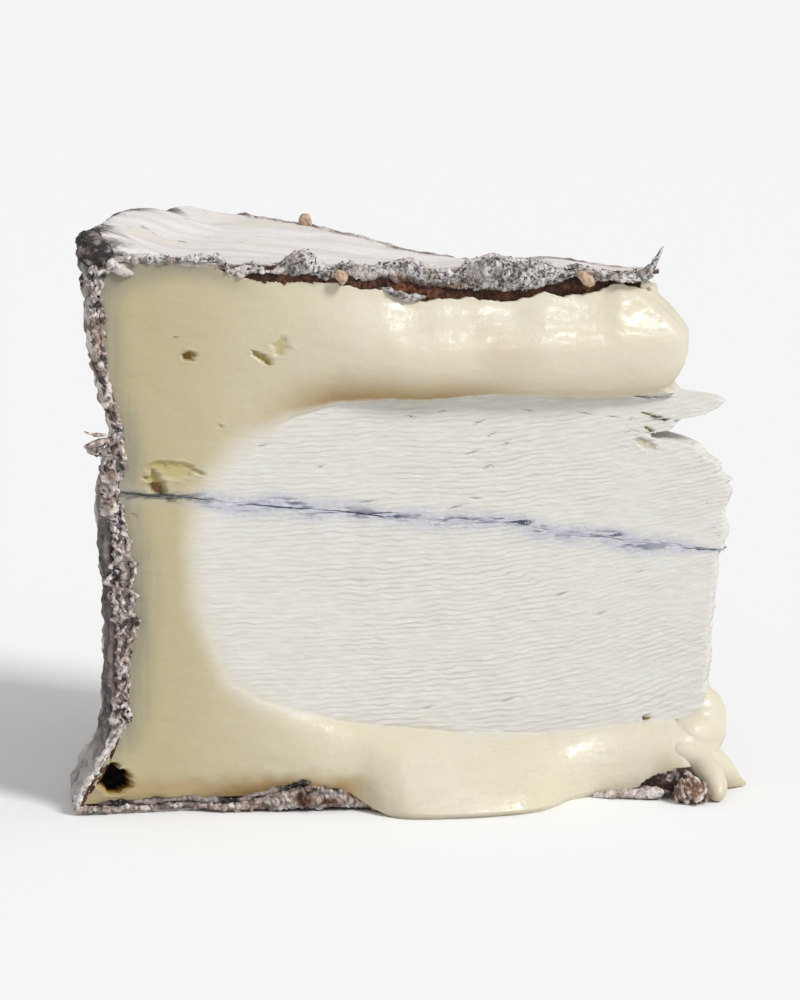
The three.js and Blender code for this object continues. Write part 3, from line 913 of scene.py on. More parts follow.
def sweep_tree():
    given = new_tree("knobbly_sweep", {
        "Path": "Geometry", "Steps round": "Int", "Knobs per metre": "Float", "Knob height": "Float",
        "Stretch": "Vector", "Seed": "Float", "Finish": "Material",
    })
    curve = node("GeometryNodeMeshToCurve", {"Mesh": given["Path"]})
    curve = keep(curve, "place", node("GeometryNodeInputPosition"), "FLOAT_VECTOR")
    circle = node("GeometryNodeCurvePrimitiveCircle", {"Resolution": given["Steps round"]})
    circle = keep(circle, "turn", times(node("GeometryNodeSplineParameter"), 2 * math.pi))
    skin = node("GeometryNodeCurveToMesh", {"Curve": curve, "Profile Curve": circle, "Fill Caps": True})
    turn = kept("turn")
    aside = scaled(kept("side", "FLOAT_VECTOR"), maths("COSINE", turn))
    ahead = scaled(kept("front", "FLOAT_VECTOR"), maths("SINE", turn))
    offset = vectors("ADD", aside, ahead)
    place = vectors("ADD", kept("place", "FLOAT_VECTOR"), offset)
    pattern = vectors("MULTIPLY", place, given["Stretch"])

    def rough_at(scale, detail):
        inputs = {"Vector": pattern, "W": given["Seed"], "Scale": scale, "Detail": detail}
        return node("ShaderNodeTexNoise", inputs, noise_dimensions="4D")

    def knobs_at(scale):
        """The absolute value of smooth noise: 0 in the creases, about 0.5 on the knobs."""
        return times(maths("ABSOLUTE", maths("SUBTRACT", rough_at(scale, 1.0), 0.5)), 2.0)

    large, small = knobs_at(given["Knobs per metre"]), knobs_at(times(given["Knobs per metre"], 2.7))
    rough = rough_at(given["Knobs per metre"], 4.0)
    height = maths("SUBTRACT", plus(times(large, 1.5), times(rough, 2.6), small), 1.65)
    height = times(height, given["Knob height"], kept("taper"))
    place = vectors("ADD", place, scaled(vectors("NORMALIZE", offset, (0, 0, 0)), height))
    place = vectors("MAXIMUM", place, (-1, -1, 0.04 * MM))
    # Creases between the knobs, kept as a mark for painted shade.
    creases = maths("MAXIMUM", between(large, 0.08, 0.01), between(small, 0.07, 0.0, 0.0, 0.7))
    skin = keep(skin, "crease_shade", times(creases, between(rough, 0.6, 0.42, 0.15, 1.0)))
    skin = keep(skin, "height", plus(large, times(small, 0.4)))
    skin = node("GeometryNodeSetPosition", {"Geometry": skin, "Position": place})
    return finish_tree(skin, given["Finish"])


sweep = sweep_tree()


# %% Use the tree on a path
def result_of(holder):
    """The mesh that an object's modifiers make; the object is removed."""
    evaluated = holder.evaluated_get(bpy.context.evaluated_depsgraph_get())
    mesh = bpy.data.meshes.new_from_object(evaluated)
    bpy.data.objects.remove(holder)
    return mesh


def with_tree(holder, tree, settings):
    """Runs a tree on an object and gives the result as a plain mesh."""
    modifier = holder.modifiers.new(tree.name, "NODES")
    modifier.node_group = tree
    for item in tree.interface.items_tree:
        if item.name in settings:
            modifier[item.identifier] = settings[item.name]
    return result_of(holder)


def in_wheel(mesh):
    """A mesh's points in wheel millimetres."""
    return corners(mesh) / MM - [axis_x, cut_y, 0.0]


def numbers(mesh, name):
    values = np.zeros(len(mesh.vertices), np.float32)
    mesh.attributes[name].data.foreach_get("value", values)
    return values.astype(float)


# The directions of a fold's width and depth: up along the cuts, out down the side, round the rim.
OUT, FORWARD, UP = (-1.0, 0.0, 0.0), (0.0, -1.0, 0.0), (0.0, 0.0, 1.0)
ACROSS = {"up": (UP, FORWARD), "out": (OUT, FORWARD), "rim": (OUT, UP)}


def fold(name, path, wide, deep, marks, knob, height, seed, across="up", girth=44, stretch=(1, 1, 1),
         blunt=10):
    """A knobbly fold of rind along a path in wheel mm. wide and deep are half its thickness each way,
    knob and height are the size of its knobs, girth is the number of points round it, and blunt the
    number of steps in which its ends close. marks holds its marks, or works them out from its points
    and from how high its knobs are there."""
    steps = len(path)
    ends = np.clip(np.minimum(np.arange(steps), np.arange(steps)[::-1]) / blunt, 0, 1)
    taper = 0.03 + 0.97 * np.sqrt(1 - (1 - ends) ** 2)
    line = bpy.data.meshes.new(name + "_path")
    line.from_pydata(in_frame(path).tolist(), [(i, i + 1) for i in range(steps - 1)], [])
    for key, direction, half in zip(("side", "front"), ACROSS[across], (wide, deep)):
        vector = np.array(direction) * (half * taper * MM)[:, None]
        line.attributes.new(key, "FLOAT_VECTOR", "POINT").data.foreach_set("vector", vector.ravel())
    line.attributes.new("taper", "FLOAT", "POINT").data.foreach_set("value", taper)
    mesh = with_tree(linked(name + "_path", line), sweep, {
        "Steps round": girth, "Knobs per metre": 1 / (2 * knob * MM), "Knob height": height * MM,
        "Stretch": stretch, "Seed": float(seed), "Finish": finishes["rind"],
    })
    values = dict(marks) if isinstance(marks, dict) else marks(in_wheel(mesh), numbers(mesh, "height"))
    # The creases get painted shade, scaled by the folded value in the marks.
    values["crease_shade"] = numbers(mesh, "crease_shade") * values.pop("folded", 1.0)
    return add_piece(name, mesh, values, "rind", "rind")


def fold_through(name, knots, steps, marks, deep=None, **settings):
    """A fold through knots: radius, distance in front of the cut, height and half thickness."""
    path = bent(knots, steps) * [-1, -1, 1, 1]
    half = path[:, 3]
    return fold(name, path[:, :3], half, half if deep is None else deep, marks, **settings)


def wandering(line, amount, size, seed, up=1.0):
    """A path that strays from its line sideways and up by smooth noise."""
    stray = np.stack([noise(line, size, seed + i, octaves=2) for i in range(3)], -1)
    return line + amount * stray * [1.0, 0.6, up]


# %% [markdown]
# ## Cream that has folded at the tip
#
# At the thin end the cream below the core has bulged out behind the tip, run down to the board in a
# pointed drip, and spread a foot over the brown rind. Separate folds would meet in hard lines, and
# runny cream has none. So these are rows of balls that are melted into one skin, which is then
# smoothed until the lines between them are soft.

# %% Melt balls together
BALLS_IN_A_ROW = 24
VOXEL = 0.22


def melted(name, rows):
    """Rows of knots: radius from the wheel's axis, distance in front of the cut, height, ball radius."""
    balls = bmesh.new()
    for knots in rows:
        for r, ahead, z, size in bent(knots, BALLS_IN_A_ROW):
            place = Matrix.Translation(Vector(in_frame(np.array([-r, -ahead, max(z, 0.6 * size)]))))
            bmesh.ops.create_icosphere(balls, subdivisions=3, radius=size * MM, matrix=place)
    mesh = bpy.data.meshes.new(name + "_balls")
    balls.to_mesh(mesh)
    balls.free()
    holder = linked(name + "_balls", mesh)
    skin = holder.modifiers.new("one skin", "REMESH")
    skin.mode, skin.voxel_size, skin.adaptivity = "VOXEL", VOXEL * MM, 0.0
    soft = holder.modifiers.new("soft", "SMOOTH")
    soft.factor, soft.iterations = 0.5, 22
    result = result_of(holder)
    points = in_wheel(result)
    points[:, 2] = np.maximum(points[:, 2], 0.05)
    result.vertices.foreach_set("co", in_frame(points).ravel())
    result.materials.clear()
    result.materials.append(finishes["curd"])
    marks = {"ripe": 1.0, "from_ash": FAR_FROM_ASH, "ochre": 0.3 * smooth(3.5, 1.0, points[:, 2])}
    return add_piece(name, result, marks, "creamline", "lower_creamline")


melted("cream_folds", [
    [(8.4, -4.4, 12.4, 2.4), (7.0, -4.0, 11.9, 3.3), (6.0, -3.9, 10.6, 4.2), (5.8, -3.2, 8.6, 4.0),
     (6.2, -1.8, 6.8, 3.5)],
    [(8.5, 0.5, 5.0, 3.0), (6.0, 1.2, 3.9, 3.0), (4.4, 1.6, 2.9, 2.6), (3.0, 1.8, 1.9, 1.9),
     (1.8, 1.8, 1.2, 1.2), (0.8, 1.6, 0.8, 0.7), (0.0, 1.5, 0.5, 0.45)],
    [(10.2, 3.0, 6.0, 2.0), (8.8, 3.5, 5.4, 2.1), (7.6, 4.3, 4.7, 2.1), (6.9, 6.0, 3.7, 2.1),
     (6.5, 7.9, 2.6, 1.9), (6.4, 9.2, 1.8, 1.6), (6.6, 10.2, 1.2, 1.2)],
    [(10.0, -0.8, 7.4, 2.8), (8.4, -0.1, 7.6, 3.2), (6.8, -0.8, 7.8, 3.4), (5.6, -2.0, 8.2, 3.6)],
])

# %% [markdown]
# ## The rind
#
# The rind is a skin that wraps the wheel's top, side and underside. It is a slab too, but laid out
# along the section's outside: one way round the section from the tip over the top, down the side and
# back along the underside, the other way round the wheel. Its thickness is given with the outline.

# %% Lay out the skin
RECESS = 1.3  # the cut edge of the lifted top rind lies back from the cut
STEPS_ROUND_SECTION = 440
STEPS_ROUND_WHEEL = 110
NEAR_CUT = np.array([0, 0.25, 0.5, 0.8, 1.1, 1.5, 2.0, 2.6, 3.3, 4.2, 5.4]) / 68  # shares t, close together
WRINKLES = (7, 7, 3.6)


def skin_grid():
    """Round the section: radius, height, thickness, direction out; round the wheel: shares t."""
    stations = np.concatenate([[0], np.cumsum(np.hypot(*np.diff(OUTLINE[:, :2], axis=0).T))])
    s = np.linspace(0, stations[-1], STEPS_ROUND_SECTION + 1)
    r, z, thick = (through(*zip(stations, OUTLINE[:, i]))(s) for i in range(3))
    z = np.maximum(z, 0.05)
    tangent = np.stack([np.gradient(r), np.gradient(z)], -1)
    tangent /= np.linalg.norm(tangent, axis=1, keepdims=True)
    t = np.concatenate([NEAR_CUT, np.linspace(0.1, 0.9, STEPS_ROUND_WHEEL + 1), 1 - NEAR_CUT[::-1]])
    columns = [values[:, None] * np.ones_like(t) for values in (r, z, thick, -tangent[:, 1], tangent[:, 0])]
    return [*columns, np.ones_like(r)[:, None] * t]


def skin_marks(base, r, top, wall, to_cut, angle, creases):
    """Where the skin is crust, wall, mould or white bloom, with painted shade on the wall by the front cut.
    """
    behind, z = base[..., 1], base[..., 2]
    at_front = smooth(0.2, 0.05, angle)
    blotchy = noise(base, (5, 5, 4), 45, octaves=3)
    streaky = blotchy + at_front * (noise(base, (6, 1.7, 3), 45, octaves=3) - blotchy)
    along_rim = 0.4 * at_front + 0.3 * smooth(0.62, 0.4, angle) - 0.2
    streaky = smooth(0.0, 0.4, streaky + along_rim + 0.45 * smooth(94, 97, r))
    rim = smooth(91 - 3 * at_front, 96, r) * streaky * (top + 0.5 * wall * smooth(66, 78, z))
    few = noise(base, (3.4, 2.2, 2), 46, octaves=2)
    specks = smooth(0.72, 0.85, few) * hump(8, 40, 62, to_cut) * smooth(70, 86, r) * top
    grey_spots = patches(base, (9, 9, 7), 49, 0.3, 0.6, 3) * wall
    hem = wall * smooth(24, 8, behind) * smooth(46, 54, z)
    # A strip of painted shade on the wall by the front cut, carried by the mould mark.
    painted_shade_strip = wall * smooth(16, 6, behind) * smooth(5, 12, z) * smooth(50, 42, z)
    on_hem = hem * patches(base, (2.4, 2.4, 3), 52, 0.15, 0.4)
    mould = rim + specks + 0.35 * grey_spots + 0.75 * painted_shade_strip + 0.8 * on_hem
    flush = patches(base, (14, 14, 5), 51, 0.2, 0.7) * wall
    return {
        "crust": smooth(1.8, 0.6, to_cut) * top * smooth(0.0, 0.3, noise(base, 3, 50, octaves=2) + 0.25),
        "grey": wall * (1 - 0.55 * hem), "flesh": 0 * r, "pink": np.clip(0.35 * flush + 0.5 * hem, 0, 1),
        "crease_shade": creases, "mould": np.clip(mould, 0, 1),
    }


# %% Make the skin
def skin():
    r, z, thick, out_r, out_z, t = skin_grid()
    base = around(r, z, t)
    top = smooth(76, 80, z)
    angle = t * WEDGE_ANGLE
    to_cut = r * np.sin(np.minimum(t, 1 - t) * WEDGE_ANGLE)
    recess = RECESS * smooth(72, 76, z) * smooth(80, 74, r) * smooth(3.0, 0.0, to_cut) * (t < 0.5)
    base[..., 1] += recess
    streaks = noise(base, (30, 1.3, 30), 41, octaves=3) * 0.09 * top
    swell = noise(base, 9, 42, octaves=3) * 0.26 * (1 - 0.6 * smooth(56, 66, to_cut) * top)
    near_hem = 1 + 0.5 * smooth(24, 6, base[..., 1]) * smooth(46, 54, z)
    wrinkles = knobs(base, WRINKLES, 43, 3)
    pushed = (wrinkles - 0.4) * near_hem * smooth(92, 95, r) * (1 - 0.6 * top)
    rim_knobs = (knobs(base, 2.4, 44, 3) - 0.4) * 0.5 * smooth(3, 0.5, to_cut) * top * (t < 0.5)
    push = (streaks + swell + pushed + rim_knobs) * smooth(0.0, 3.0, z)
    outer = base + push[..., None] * np.stack([-out_r * np.cos(angle), out_r * np.sin(angle), out_z], -1)
    inner = around(r - out_r * thick, z - out_z * thick, t)
    inner[..., 1] += recess
    wall = (1 - top) * smooth(90, 93, r)
    # The wall's wrinkles get painted shade in their creases.
    marks = skin_marks(base, r, top, wall, to_cut, angle, smooth(0.3, 0.0, wrinkles) * wall * 0.45)
    inside = {name: np.zeros_like(values) for name, values in marks.items()}
    inside["flesh"] = 1 - 0.6 * smooth(74, 82, r) * smooth(70, 76, z)
    inside["pink"] = 1 - inside["flesh"]
    at_cut = edge_of(np.minimum(t, 1 - t)) < 1e-6
    loops = []
    parts = {name: [values.ravel()] for name, values in marks.items()}
    for share in (0.12, 0.35, 0.65, 0.9):
        loop = edge_of(outer) * (1 - share) + edge_of(inner) * share
        loop[:, 1] += np.where(at_cut, 0.25 * noise(loop, 1.2, 48, octaves=2), 0)
        loops.append(loop)
        torn = smooth(0.0, 0.3, share)
        for name, values in marks.items():
            parts[name].append(edge_of(values) * (1 - torn) + edge_of(inside[name]) * torn)
    points, faces = slab(outer, loops, inner[::2, ::2])
    all_marks = {name: np.concatenate([*parts[name], inside[name][::2, ::2].ravel()]) for name in marks}
    solid("rind_skin", points, faces, all_marks, "rind", "rind", "rind")


skin()

# %% [markdown]
# ## The crust along the cuts
#
# Where the rind is cut it has dried into a knobbly rim: grey and speckled along the top, where it
# lifts off the cream and shows its brown inside, folded and pinkish down the side, thin and wrinkled
# along the underside. Each stretch is a swept fold. The height of the top one is read off two curves,
# so its lumps come where they should, and noise makes the knobs on them.

# %% The top crust
crust_top = through(
    (13.6, 77.6), (17, 77.8), (19.2, 77.5), (22.2, 77.9), (26.3, 78.4), (28.5, 78.4), (30.2, 79.2),
    (32.4, 79.9), (34.5, 79.8), (37.1, 80.3), (38.5, 80.7), (40.3, 80.3), (42, 79.4), (43.4, 78.1),
    (46, 78.6), (48.2, 79.2), (50.9, 80), (53.4, 79.6), (56.7, 79.4), (60.7, 79.8), (62.9, 79.5),
    (64, 80.4), (65.5, 81.4), (67.2, 81.5), (68.6, 80.8), (69.6, 79.8), (71, 79.2), (74.5, 79.6),
    (76, 79.4), (77.3, 79.2), (78, 80.9), (80.3, 81.3), (83.2, 81.1), (87.8, 81.2), (91, 81.5),
    (97, 81.6),
)
crust_low = through(
    (13.6, 76.4), (17, 76.4), (21.5, 76.6), (24.5, 76.1), (26, 77), (28.9, 76), (31.2, 75.5), (36.1, 75),
    (40.8, 75.3), (46.8, 75.8), (49.7, 76), (52.6, 76.7), (54.8, 77.4), (57, 76.8), (58.5, 77),
    (59.7, 77.6), (61.1, 77.2), (64.1, 77.8), (67.3, 78.1), (69, 78), (70.9, 78.5), (73.5, 78.5),
    (76, 78.1), (78, 79.9), (80.3, 80.5), (83.2, 80.6), (88, 80.5), (97, 80.2),
)


def near_tip(r):
    """The thick grey lump of the crust near the tip."""
    return hump(24, 36, 46, r)


def top_crust():
    r = np.linspace(14.2, 92.5, 520)
    low, high = crust_low(r), crust_top(r)
    middle, half = (high + low) / 2, np.maximum((high - low) / 2, 0.35)
    bulge = 0.3 + 0.5 * smooth(80, 66, r) + 0.9 * hump(24, 36, 44, r) + 0.7 * hump(62, 66, 70, r)
    deep = 0.7 + 0.9 * smooth(82, 70, r) + 0.5 * near_tip(r)
    path = np.stack([-r, deep - bulge - 0.3, middle], -1)

    def marks(points, height):
        along, up = -points[:, 0], points[:, 2]
        share = (up - crust_low(along)) / np.maximum(crust_top(along) - crust_low(along), 0.7)
        white = patches(points, 4, 63, 0.0, 0.4) * (1 - near_tip(along))
        white = np.clip(white + hump(73.5, 76, 80, along), 0, 1)
        brown = hump(42, 50, 62, along) * smooth(0.55, 0.2, share + 0.25 * noise(points, 2.5, 65))
        growing = smooth(76, 70, along) * (1 - hump(58, 66, 74, along))
        below = smooth(0.12, -0.1, share + 0.15 * noise(points, 2, 66)) * smooth(76, 68, along)
        return {
            "crust": 1 - 0.8 * white, "flesh": np.clip(0.9 * brown + below, 0, 1),
            "peach": patches(points, 3.2, 67, 0.68, 0.8, 1) * growing,
            "pink": 0.5 * white, "mould": 0.4 * patches(points, 5, 64, 0.3, 0.6),
        }

    look = {"knob": 0.9, "height": 0.62, "seed": 60, "girth": 64, "stretch": (1.35, 1.0, 0.75)}
    return fold("top_crust", path, half * 0.92, deep, marks, **look)


crusts = [top_crust()]

# %% [markdown]
# A curled edge of white skin runs along the crust's upper side, a speckled shred has stayed on the
# cream, and the torn inside of the rind fills the gap between the crust and the cream. At the tip the
# crust ends in a horn that curls up. The nubs are young growth, still peach-coloured.

# %% Curled edges, horn, shreds and nubs
SPECKLED = {"crust": 1.0, "pink": 0.15, "folded": 0.9}
PALE_LEAF = {"pink": 0.45, "peach": 0.12, "folded": 0.6}
FLESHY = {"flesh": 1.0, "folded": 1.0}


def peachy(points, height):
    mould = 0.2 * patches(points, 1.5, 68, 0.2, 0.6, 1)
    return {"peach": 1.0, "crust": 0.2, "mould": mould, "folded": 0.4}


def mouldy(points, height):
    light = patches(points, 1.6, 69, 0.2, 0.7)
    return {"crust": 0.6, "flesh": 0.4, "pink": 0.35 * light, "mould": 0.95 - 0.8 * light, "folded": 0.8}


def curled_edge():
    r = np.linspace(15, 92, 430)
    line = np.stack([-r, 0.3 - 0.7 * near_tip(r), crust_top(r) - 0.25], -1)
    path = wandering(line, 0.5, 2.6, 110, up=0.6)
    thick = 0.36 + 0.16 * noise(path, 5, 114)

    def marks(points, height):
        dark = patches(points, 2.6, 115, -0.1, 0.3)
        mould = 0.5 * dark * smooth(78, 84, -points[:, 0])
        return {"crust": dark, "pink": 0.4 * (1 - dark), "mould": mould}

    return fold("curled_edge", path, thick, thick + 0.2, marks, knob=0.6, height=0.36, seed=61, girth=24)


def torn_inside():
    r = np.linspace(16, 75, 360)
    low, lip = crust_low(r), cream_top(r)
    path = np.stack([-r, 0.9 - 0.5 * smooth(44, 52, r), (low + lip) / 2 + 0.25], -1)
    wide = np.maximum((low - lip) / 2, 0) + 0.8
    fold("torn_inside", path, wide, 0.9, FLESHY, knob=0.7, height=0.5, seed=130, girth=30,
         stretch=(1, 1, 0.6))


def corner_mould():
    """The black growth that stands up at the rim's corner and runs back along the rim."""
    angle = np.radians(np.linspace(-0.9, 33, 190))
    lift = rim_lift(97 * np.sin(np.maximum(angle, 0)))
    r = 96.6 - 2.1 * smooth(0, 0.5, angle) - 0.5 * smooth(0.015, 0.0, angle)
    height = 80.0 + np.maximum(lift, 1.8) - 0.8 * smooth(0.02, 0.2, angle)
    path = np.stack([-r * np.cos(angle), r * np.sin(angle), height], -1)
    thick = 0.6 + 1.7 * smooth(0.16, 0.02, angle) + 0.3 * noise(path, 4, 131)
    fold("corner_mould", path, thick, thick * 0.9, mouldy, knob=1.1, height=0.65, seed=132, across="rim",
         girth=60)


crusts.append(curled_edge())
for seed, (name, knob, height, marks, knots) in enumerate([
    ("horn", 0.6, 0.35, SPECKLED, [
        (21, 1.0, 76.9, 0.5), (18, 1.3, 77.0, 0.7), (15.6, 1.4, 77.7, 0.85), (14.4, 1.4, 79.2, 0.75),
        (13.7, 1.3, 80.6, 0.6), (13.2, 1.2, 81.4, 0.4)]),
    ("horn_fold", 0.7, 0.35, SPECKLED, [
        (26, 1.2, 78.2, 0.4), (23, 1.6, 77.6, 0.6), (20, 1.7, 77.0, 0.6), (17, 1.8, 76.7, 0.5),
        (14.8, 1.6, 77.0, 0.4)]),
    ("shred", 0.5, 0.3, SPECKLED, [
        (55.4, 0.6, 76.2, 0.3), (54, 1.3, 75.7, 0.5), (52.3, 1.5, 75.0, 0.55), (50.4, 1.5, 74.7, 0.5),
        (48.6, 1.2, 74.8, 0.3)]),
    ("leaf_fold", 0.9, 0.25, PALE_LEAF, [
        (95.4, -0.2, 80.8, 0.6), (94.2, 0.3, 80.2, 0.85), (92.6, 0.6, 79.4, 0.8), (91, 0.4, 79.0, 0.35)]),
    ("left_nub", 0.9, 0.35, peachy, [
        (62.2, 1.7, 78.2, 0.6), (61.2, 2.0, 78.1, 0.95), (60.2, 1.7, 77.9, 0.6)]),
    ("right_nub", 0.9, 0.35, peachy, [
        (26.2, 1.2, 77.6, 0.6), (24.9, 1.7, 76.9, 0.9), (23.6, 1.5, 76.3, 0.6)]),
    ("back_nub", 0.9, 0.4, peachy, [
        (57.475, -54.4, 80.3, 1.25), (56.540, -54.0, 80.4, 1.4), (55.605, -53.6, 80.3, 1.2)]),
], 120):
    fold_through(name, knots, 60, marks, knob=knob, height=height, seed=seed, girth=28, blunt=16)
torn_inside()
corner_mould()

# %% [markdown]
# Down the side the rind's cut edge has crinkled like the hem of a curtain. A dark band lies at the
# bottom of the folds, and pinkish strands wander over it. Along the underside the same happens in a
# thinner form, with a black thread of mould on top and brown lumps where the cream has pushed it up.

# %% The side crust
crinkle_outer = through(
    (82, 97.2), (76, 97.2), (68, 96.8), (61, 95.2), (56, 94.1), (52, 95.4), (49, 95.8), (46, 95.8),
    (43.5, 95), (40, 94.6), (32, 94.5), (25, 94.3), (17, 94.4), (12, 95.2), (9, 96.3), (6, 97.9),
    (3, 99.6), (0, 100.2),
)


# How far down in a crease between knobs a point lies, from 0 to 1; the finishes paint brown shade there.
def crease_shade_share(height):
    return smooth(0.34, 0.14, height)


def crinkled(points, height):
    z = points[:, 2]
    dark = smooth(0.2, 0.5, noise(points, (1.5, 1.5, 1.1), 73, octaves=2) + 0.12 * smooth(50, 66, z))
    low = smooth(15, 9, z)
    # Brown painted shade in the creases between the knobs.
    brown = 0.55 * crease_shade_share(height) * (1 - low)
    return {"pink": 0.75 - 0.65 * low, "crust": 0.4 * patches(points, 4, 74, 0, 0.5, 1) * (1 - low),
            "flesh": brown, "mould": (0.9 - 0.65 * low) * dark, "folded": 0.7}


def dark_band(points, height):
    light = patches(points, (1.6, 1.6, 2.4), 75, 0.1, 0.45)
    low = smooth(15, 9, points[:, 2])
    dark = (1 - light) * (1 - 0.8 * low)
    return {"pink": light * (1 - 0.8 * low), "flesh": 0.7 * dark, "mould": 0.5 * dark, "folded": 0.9}


def side_crust():
    z = np.linspace(80.6, 0.9, 460)
    outer, inner = crinkle_outer(z), rind_border(z) - 0.2 + 1.4 * smooth(14, 7, z)
    half = np.maximum((outer - inner) / 2, 0.55 - 0.2 * smooth(14, 7, z))
    band = np.stack([-(outer + inner) / 2, 0 * z + 0.55, z], -1)
    look = {"knob": 0.8, "height": 0.5, "seed": 70, "across": "out", "girth": 40, "stretch": (0.6, 1.0, 1.5)}
    crusts.append(fold("side_band", band, half, 1.0, dark_band, **look))
    for seed, share, strand in ((76, 0.1, 0.42), (86, 0.5, 0.34), (96, 0.88, 0.4)):
        strand = strand * (0.6 + 0.4 * smooth(7, 14, z))
        wiggle = 0.4 * half * noise(np.stack([0 * z, 0 * z + seed, z], -1), 1.7, seed, octaves=2)
        at = outer + (inner - outer) * share
        path = wandering(np.stack([-at + 2.0 * wiggle, 0 * z - 0.35, z], -1), 0.35, 2.4, seed + 1, up=0.2)
        thick = strand * (1 + 0.45 * noise(path, 3, seed + 4))
        name = f"side_fold_{seed}"
        look = {"knob": 0.6, "height": 0.42, "seed": seed, "across": "out", "girth": 22}
        crusts.append(fold(name, path, thick, thick + 0.15, crinkled, **look))


side_crust()

# A curl of rind stands off the side, with a whisker on it and a knuckle below it. The last is a white
# rag of skin between the mould and the leaf.
crusts.append(fold_through("side_flap", [
    (93.8, 0.2, 55.6, 0.7), (95.4, 0.5, 55.2, 1.1), (96.9, 0.6, 54.4, 1.35), (96.8, 0.6, 53.4, 1.3),
    (95.2, 0.4, 52.8, 1.1), (93.9, 0.2, 52.2, 0.6),
], 70, crinkled, knob=0.8, height=0.5, seed=140, across="out", girth=28))
fold_through("side_whisker", [
    (95.2, 0.5, 55.9, 0.3), (97.2, 0.6, 56, 0.26), (98.6, 0.6, 56.5, 0.14),
], 40, crinkled, knob=0.5, height=0.2, seed=142, girth=12)
crusts.append(fold_through("side_knuckle", [
    (94.4, 0.4, 50.8, 0.7), (95.2, 0.8, 49, 1.3), (95.3, 0.9, 46.8, 1.5), (94.8, 0.8, 44.6, 1.2),
    (94, 0.4, 42.8, 0.6),
], 80, crinkled, deep=1.1, knob=1.0, height=0.7, seed=141, across="out", girth=36))
fold_through("white_curl", [
    (96.6, 0, 77.2, 0.5), (96, 0.5, 78.6, 0.8), (95, 0.7, 79.6, 0.8), (93.6, 0.6, 80.2, 0.6),
], 60, crinkled, knob=0.6, height=0.5, seed=134, across="out", girth=28)

# %% The base crust
lump_height = through(
    (56, 0.5), (58, 1.4), (61, 3.1), (64, 3.5), (67, 3.8), (70, 3.2), (73, 2.3), (77, 1.6), (82, 1.2),
    (87, 1.1), (92, 1.4), (97, 1.2), (101, 1.4),
)
lump_front = through(
    (55, 10), (57.5, 6.5), (60, 5.2), (64, 4.6), (69, 4.4), (73, 3.6), (78, 3.2), (84, 1), (90, 0.8),
    (101, 0.9),
)


def arch(r):
    """How far the crust rises off the board on its way to the corner."""
    return 0.35 * hump(79, 84, 90, r)


def base_crust():
    r = np.linspace(100.6, 56, 300)
    half = lump_height(r) / 2
    path = np.stack([-r, 1.0 - lump_front(r), half + 0.15 + arch(r)], -1)

    def marks(points, height):
        lump = hump(57, 66, 77, -points[:, 0])
        patch = patches(points, 3, 81, -0.2, 0.5)
        # Brown where the lump is stained, and brown painted shade in the creases.
        brown = np.clip(0.75 * lump * patch + 0.5 * crease_shade_share(height), 0, 1)
        dark = patches(points, (2.5, 2.5, 1), 82, 0.15, 0.5)
        return {"pink": 0.95 - 0.5 * lump * patch, "flesh": brown, "crust": 0.25, "folded": 0.9,
                "mould": 0.6 * dark * (1 - 0.3 * lump)}

    deep = 1.0 + 0.8 * hump(57, 64, 77, r)
    look = {"knob": 0.8, "height": 0.5, "seed": 80, "stretch": (1.3, 1.0, 0.7)}
    return fold("base_crust", path, half * 0.85, deep, marks, **look)


def black_thread():
    r = np.linspace(97, 66, 240)
    height = lump_height(r) + 0.35 + arch(r)
    path = wandering(np.stack([-r, 0.4 - 0.8 * lump_front(r), height], -1), 0.5, 3.2, 150, up=0.6)

    def marks(points, height):
        return {"mould": patches(points, 3.5, 151, -0.35, 0.1, 1), "flesh": 0.6, "pink": 0.5}

    fold("black_thread", path, 0.34, 0.5, marks, knob=0.7, height=0.3, seed=152, girth=16)


def pale_edge(points, height):
    return {"pink": 0.9, "flesh": 0.3 * patches(points, 2, 91, 0.0, 0.5, 1), "folded": 0.9}


def cave(points, height):
    light = patches(points, 1.8, 92, 0.0, 0.5)
    return {"flesh": 1 - 0.75 * light, "pink": 0.7 * light, "mould": 0.6 * (1 - light), "folded": 1.0}


def spongy(points, height):
    # Brown painted shade in the creases of the porous lump.
    return {"pink": 0.8, "flesh": 0.8 * crease_shade_share(height), "folded": 0.8}


crusts.append(base_crust())
black_thread()
# The rind under the tip: a thin edge, a brown hollow, and a porous lump that lies on the board.
for seed, name, knob, height, marks, knots in (
    (168, "tip_edge", 0.9, 0.4, pale_edge, [
        (24, 4.2, 0.5, 0.35), (20, 5.4, 0.7, 0.6), (16.5, 6.8, 1.0, 0.9), (14, 7.6, 1.2, 1.0)]),
    (170, "tip_hollow", 0.9, 0.6, cave, [
        (17.0, 4.6, 1.2, 0.8), (15.0, 5.6, 1.9, 1.4), (12.8, 6.4, 2.4, 1.6), (10.8, 6.6, 2.8, 1.4),
        (9.2, 6.0, 3.0, 0.9)]),
    (168, "tip_lump", 0.75, 0.75, spongy, [
        (13.0, 9.0, 1.3, 0.9), (11.8, 10.0, 1.9, 1.7), (10.2, 10.5, 2.1, 2.0), (8.8, 10.4, 1.6, 1.4),
        (7.8, 10.0, 1.1, 0.8)]),
):
    crusts.append(fold_through(name, knots, 90, marks, knob=knob, height=height, seed=seed, blunt=16))

# %% [markdown]
# The back cut has the same rim, in a plainer form: one fold each along its top, its side and its base.

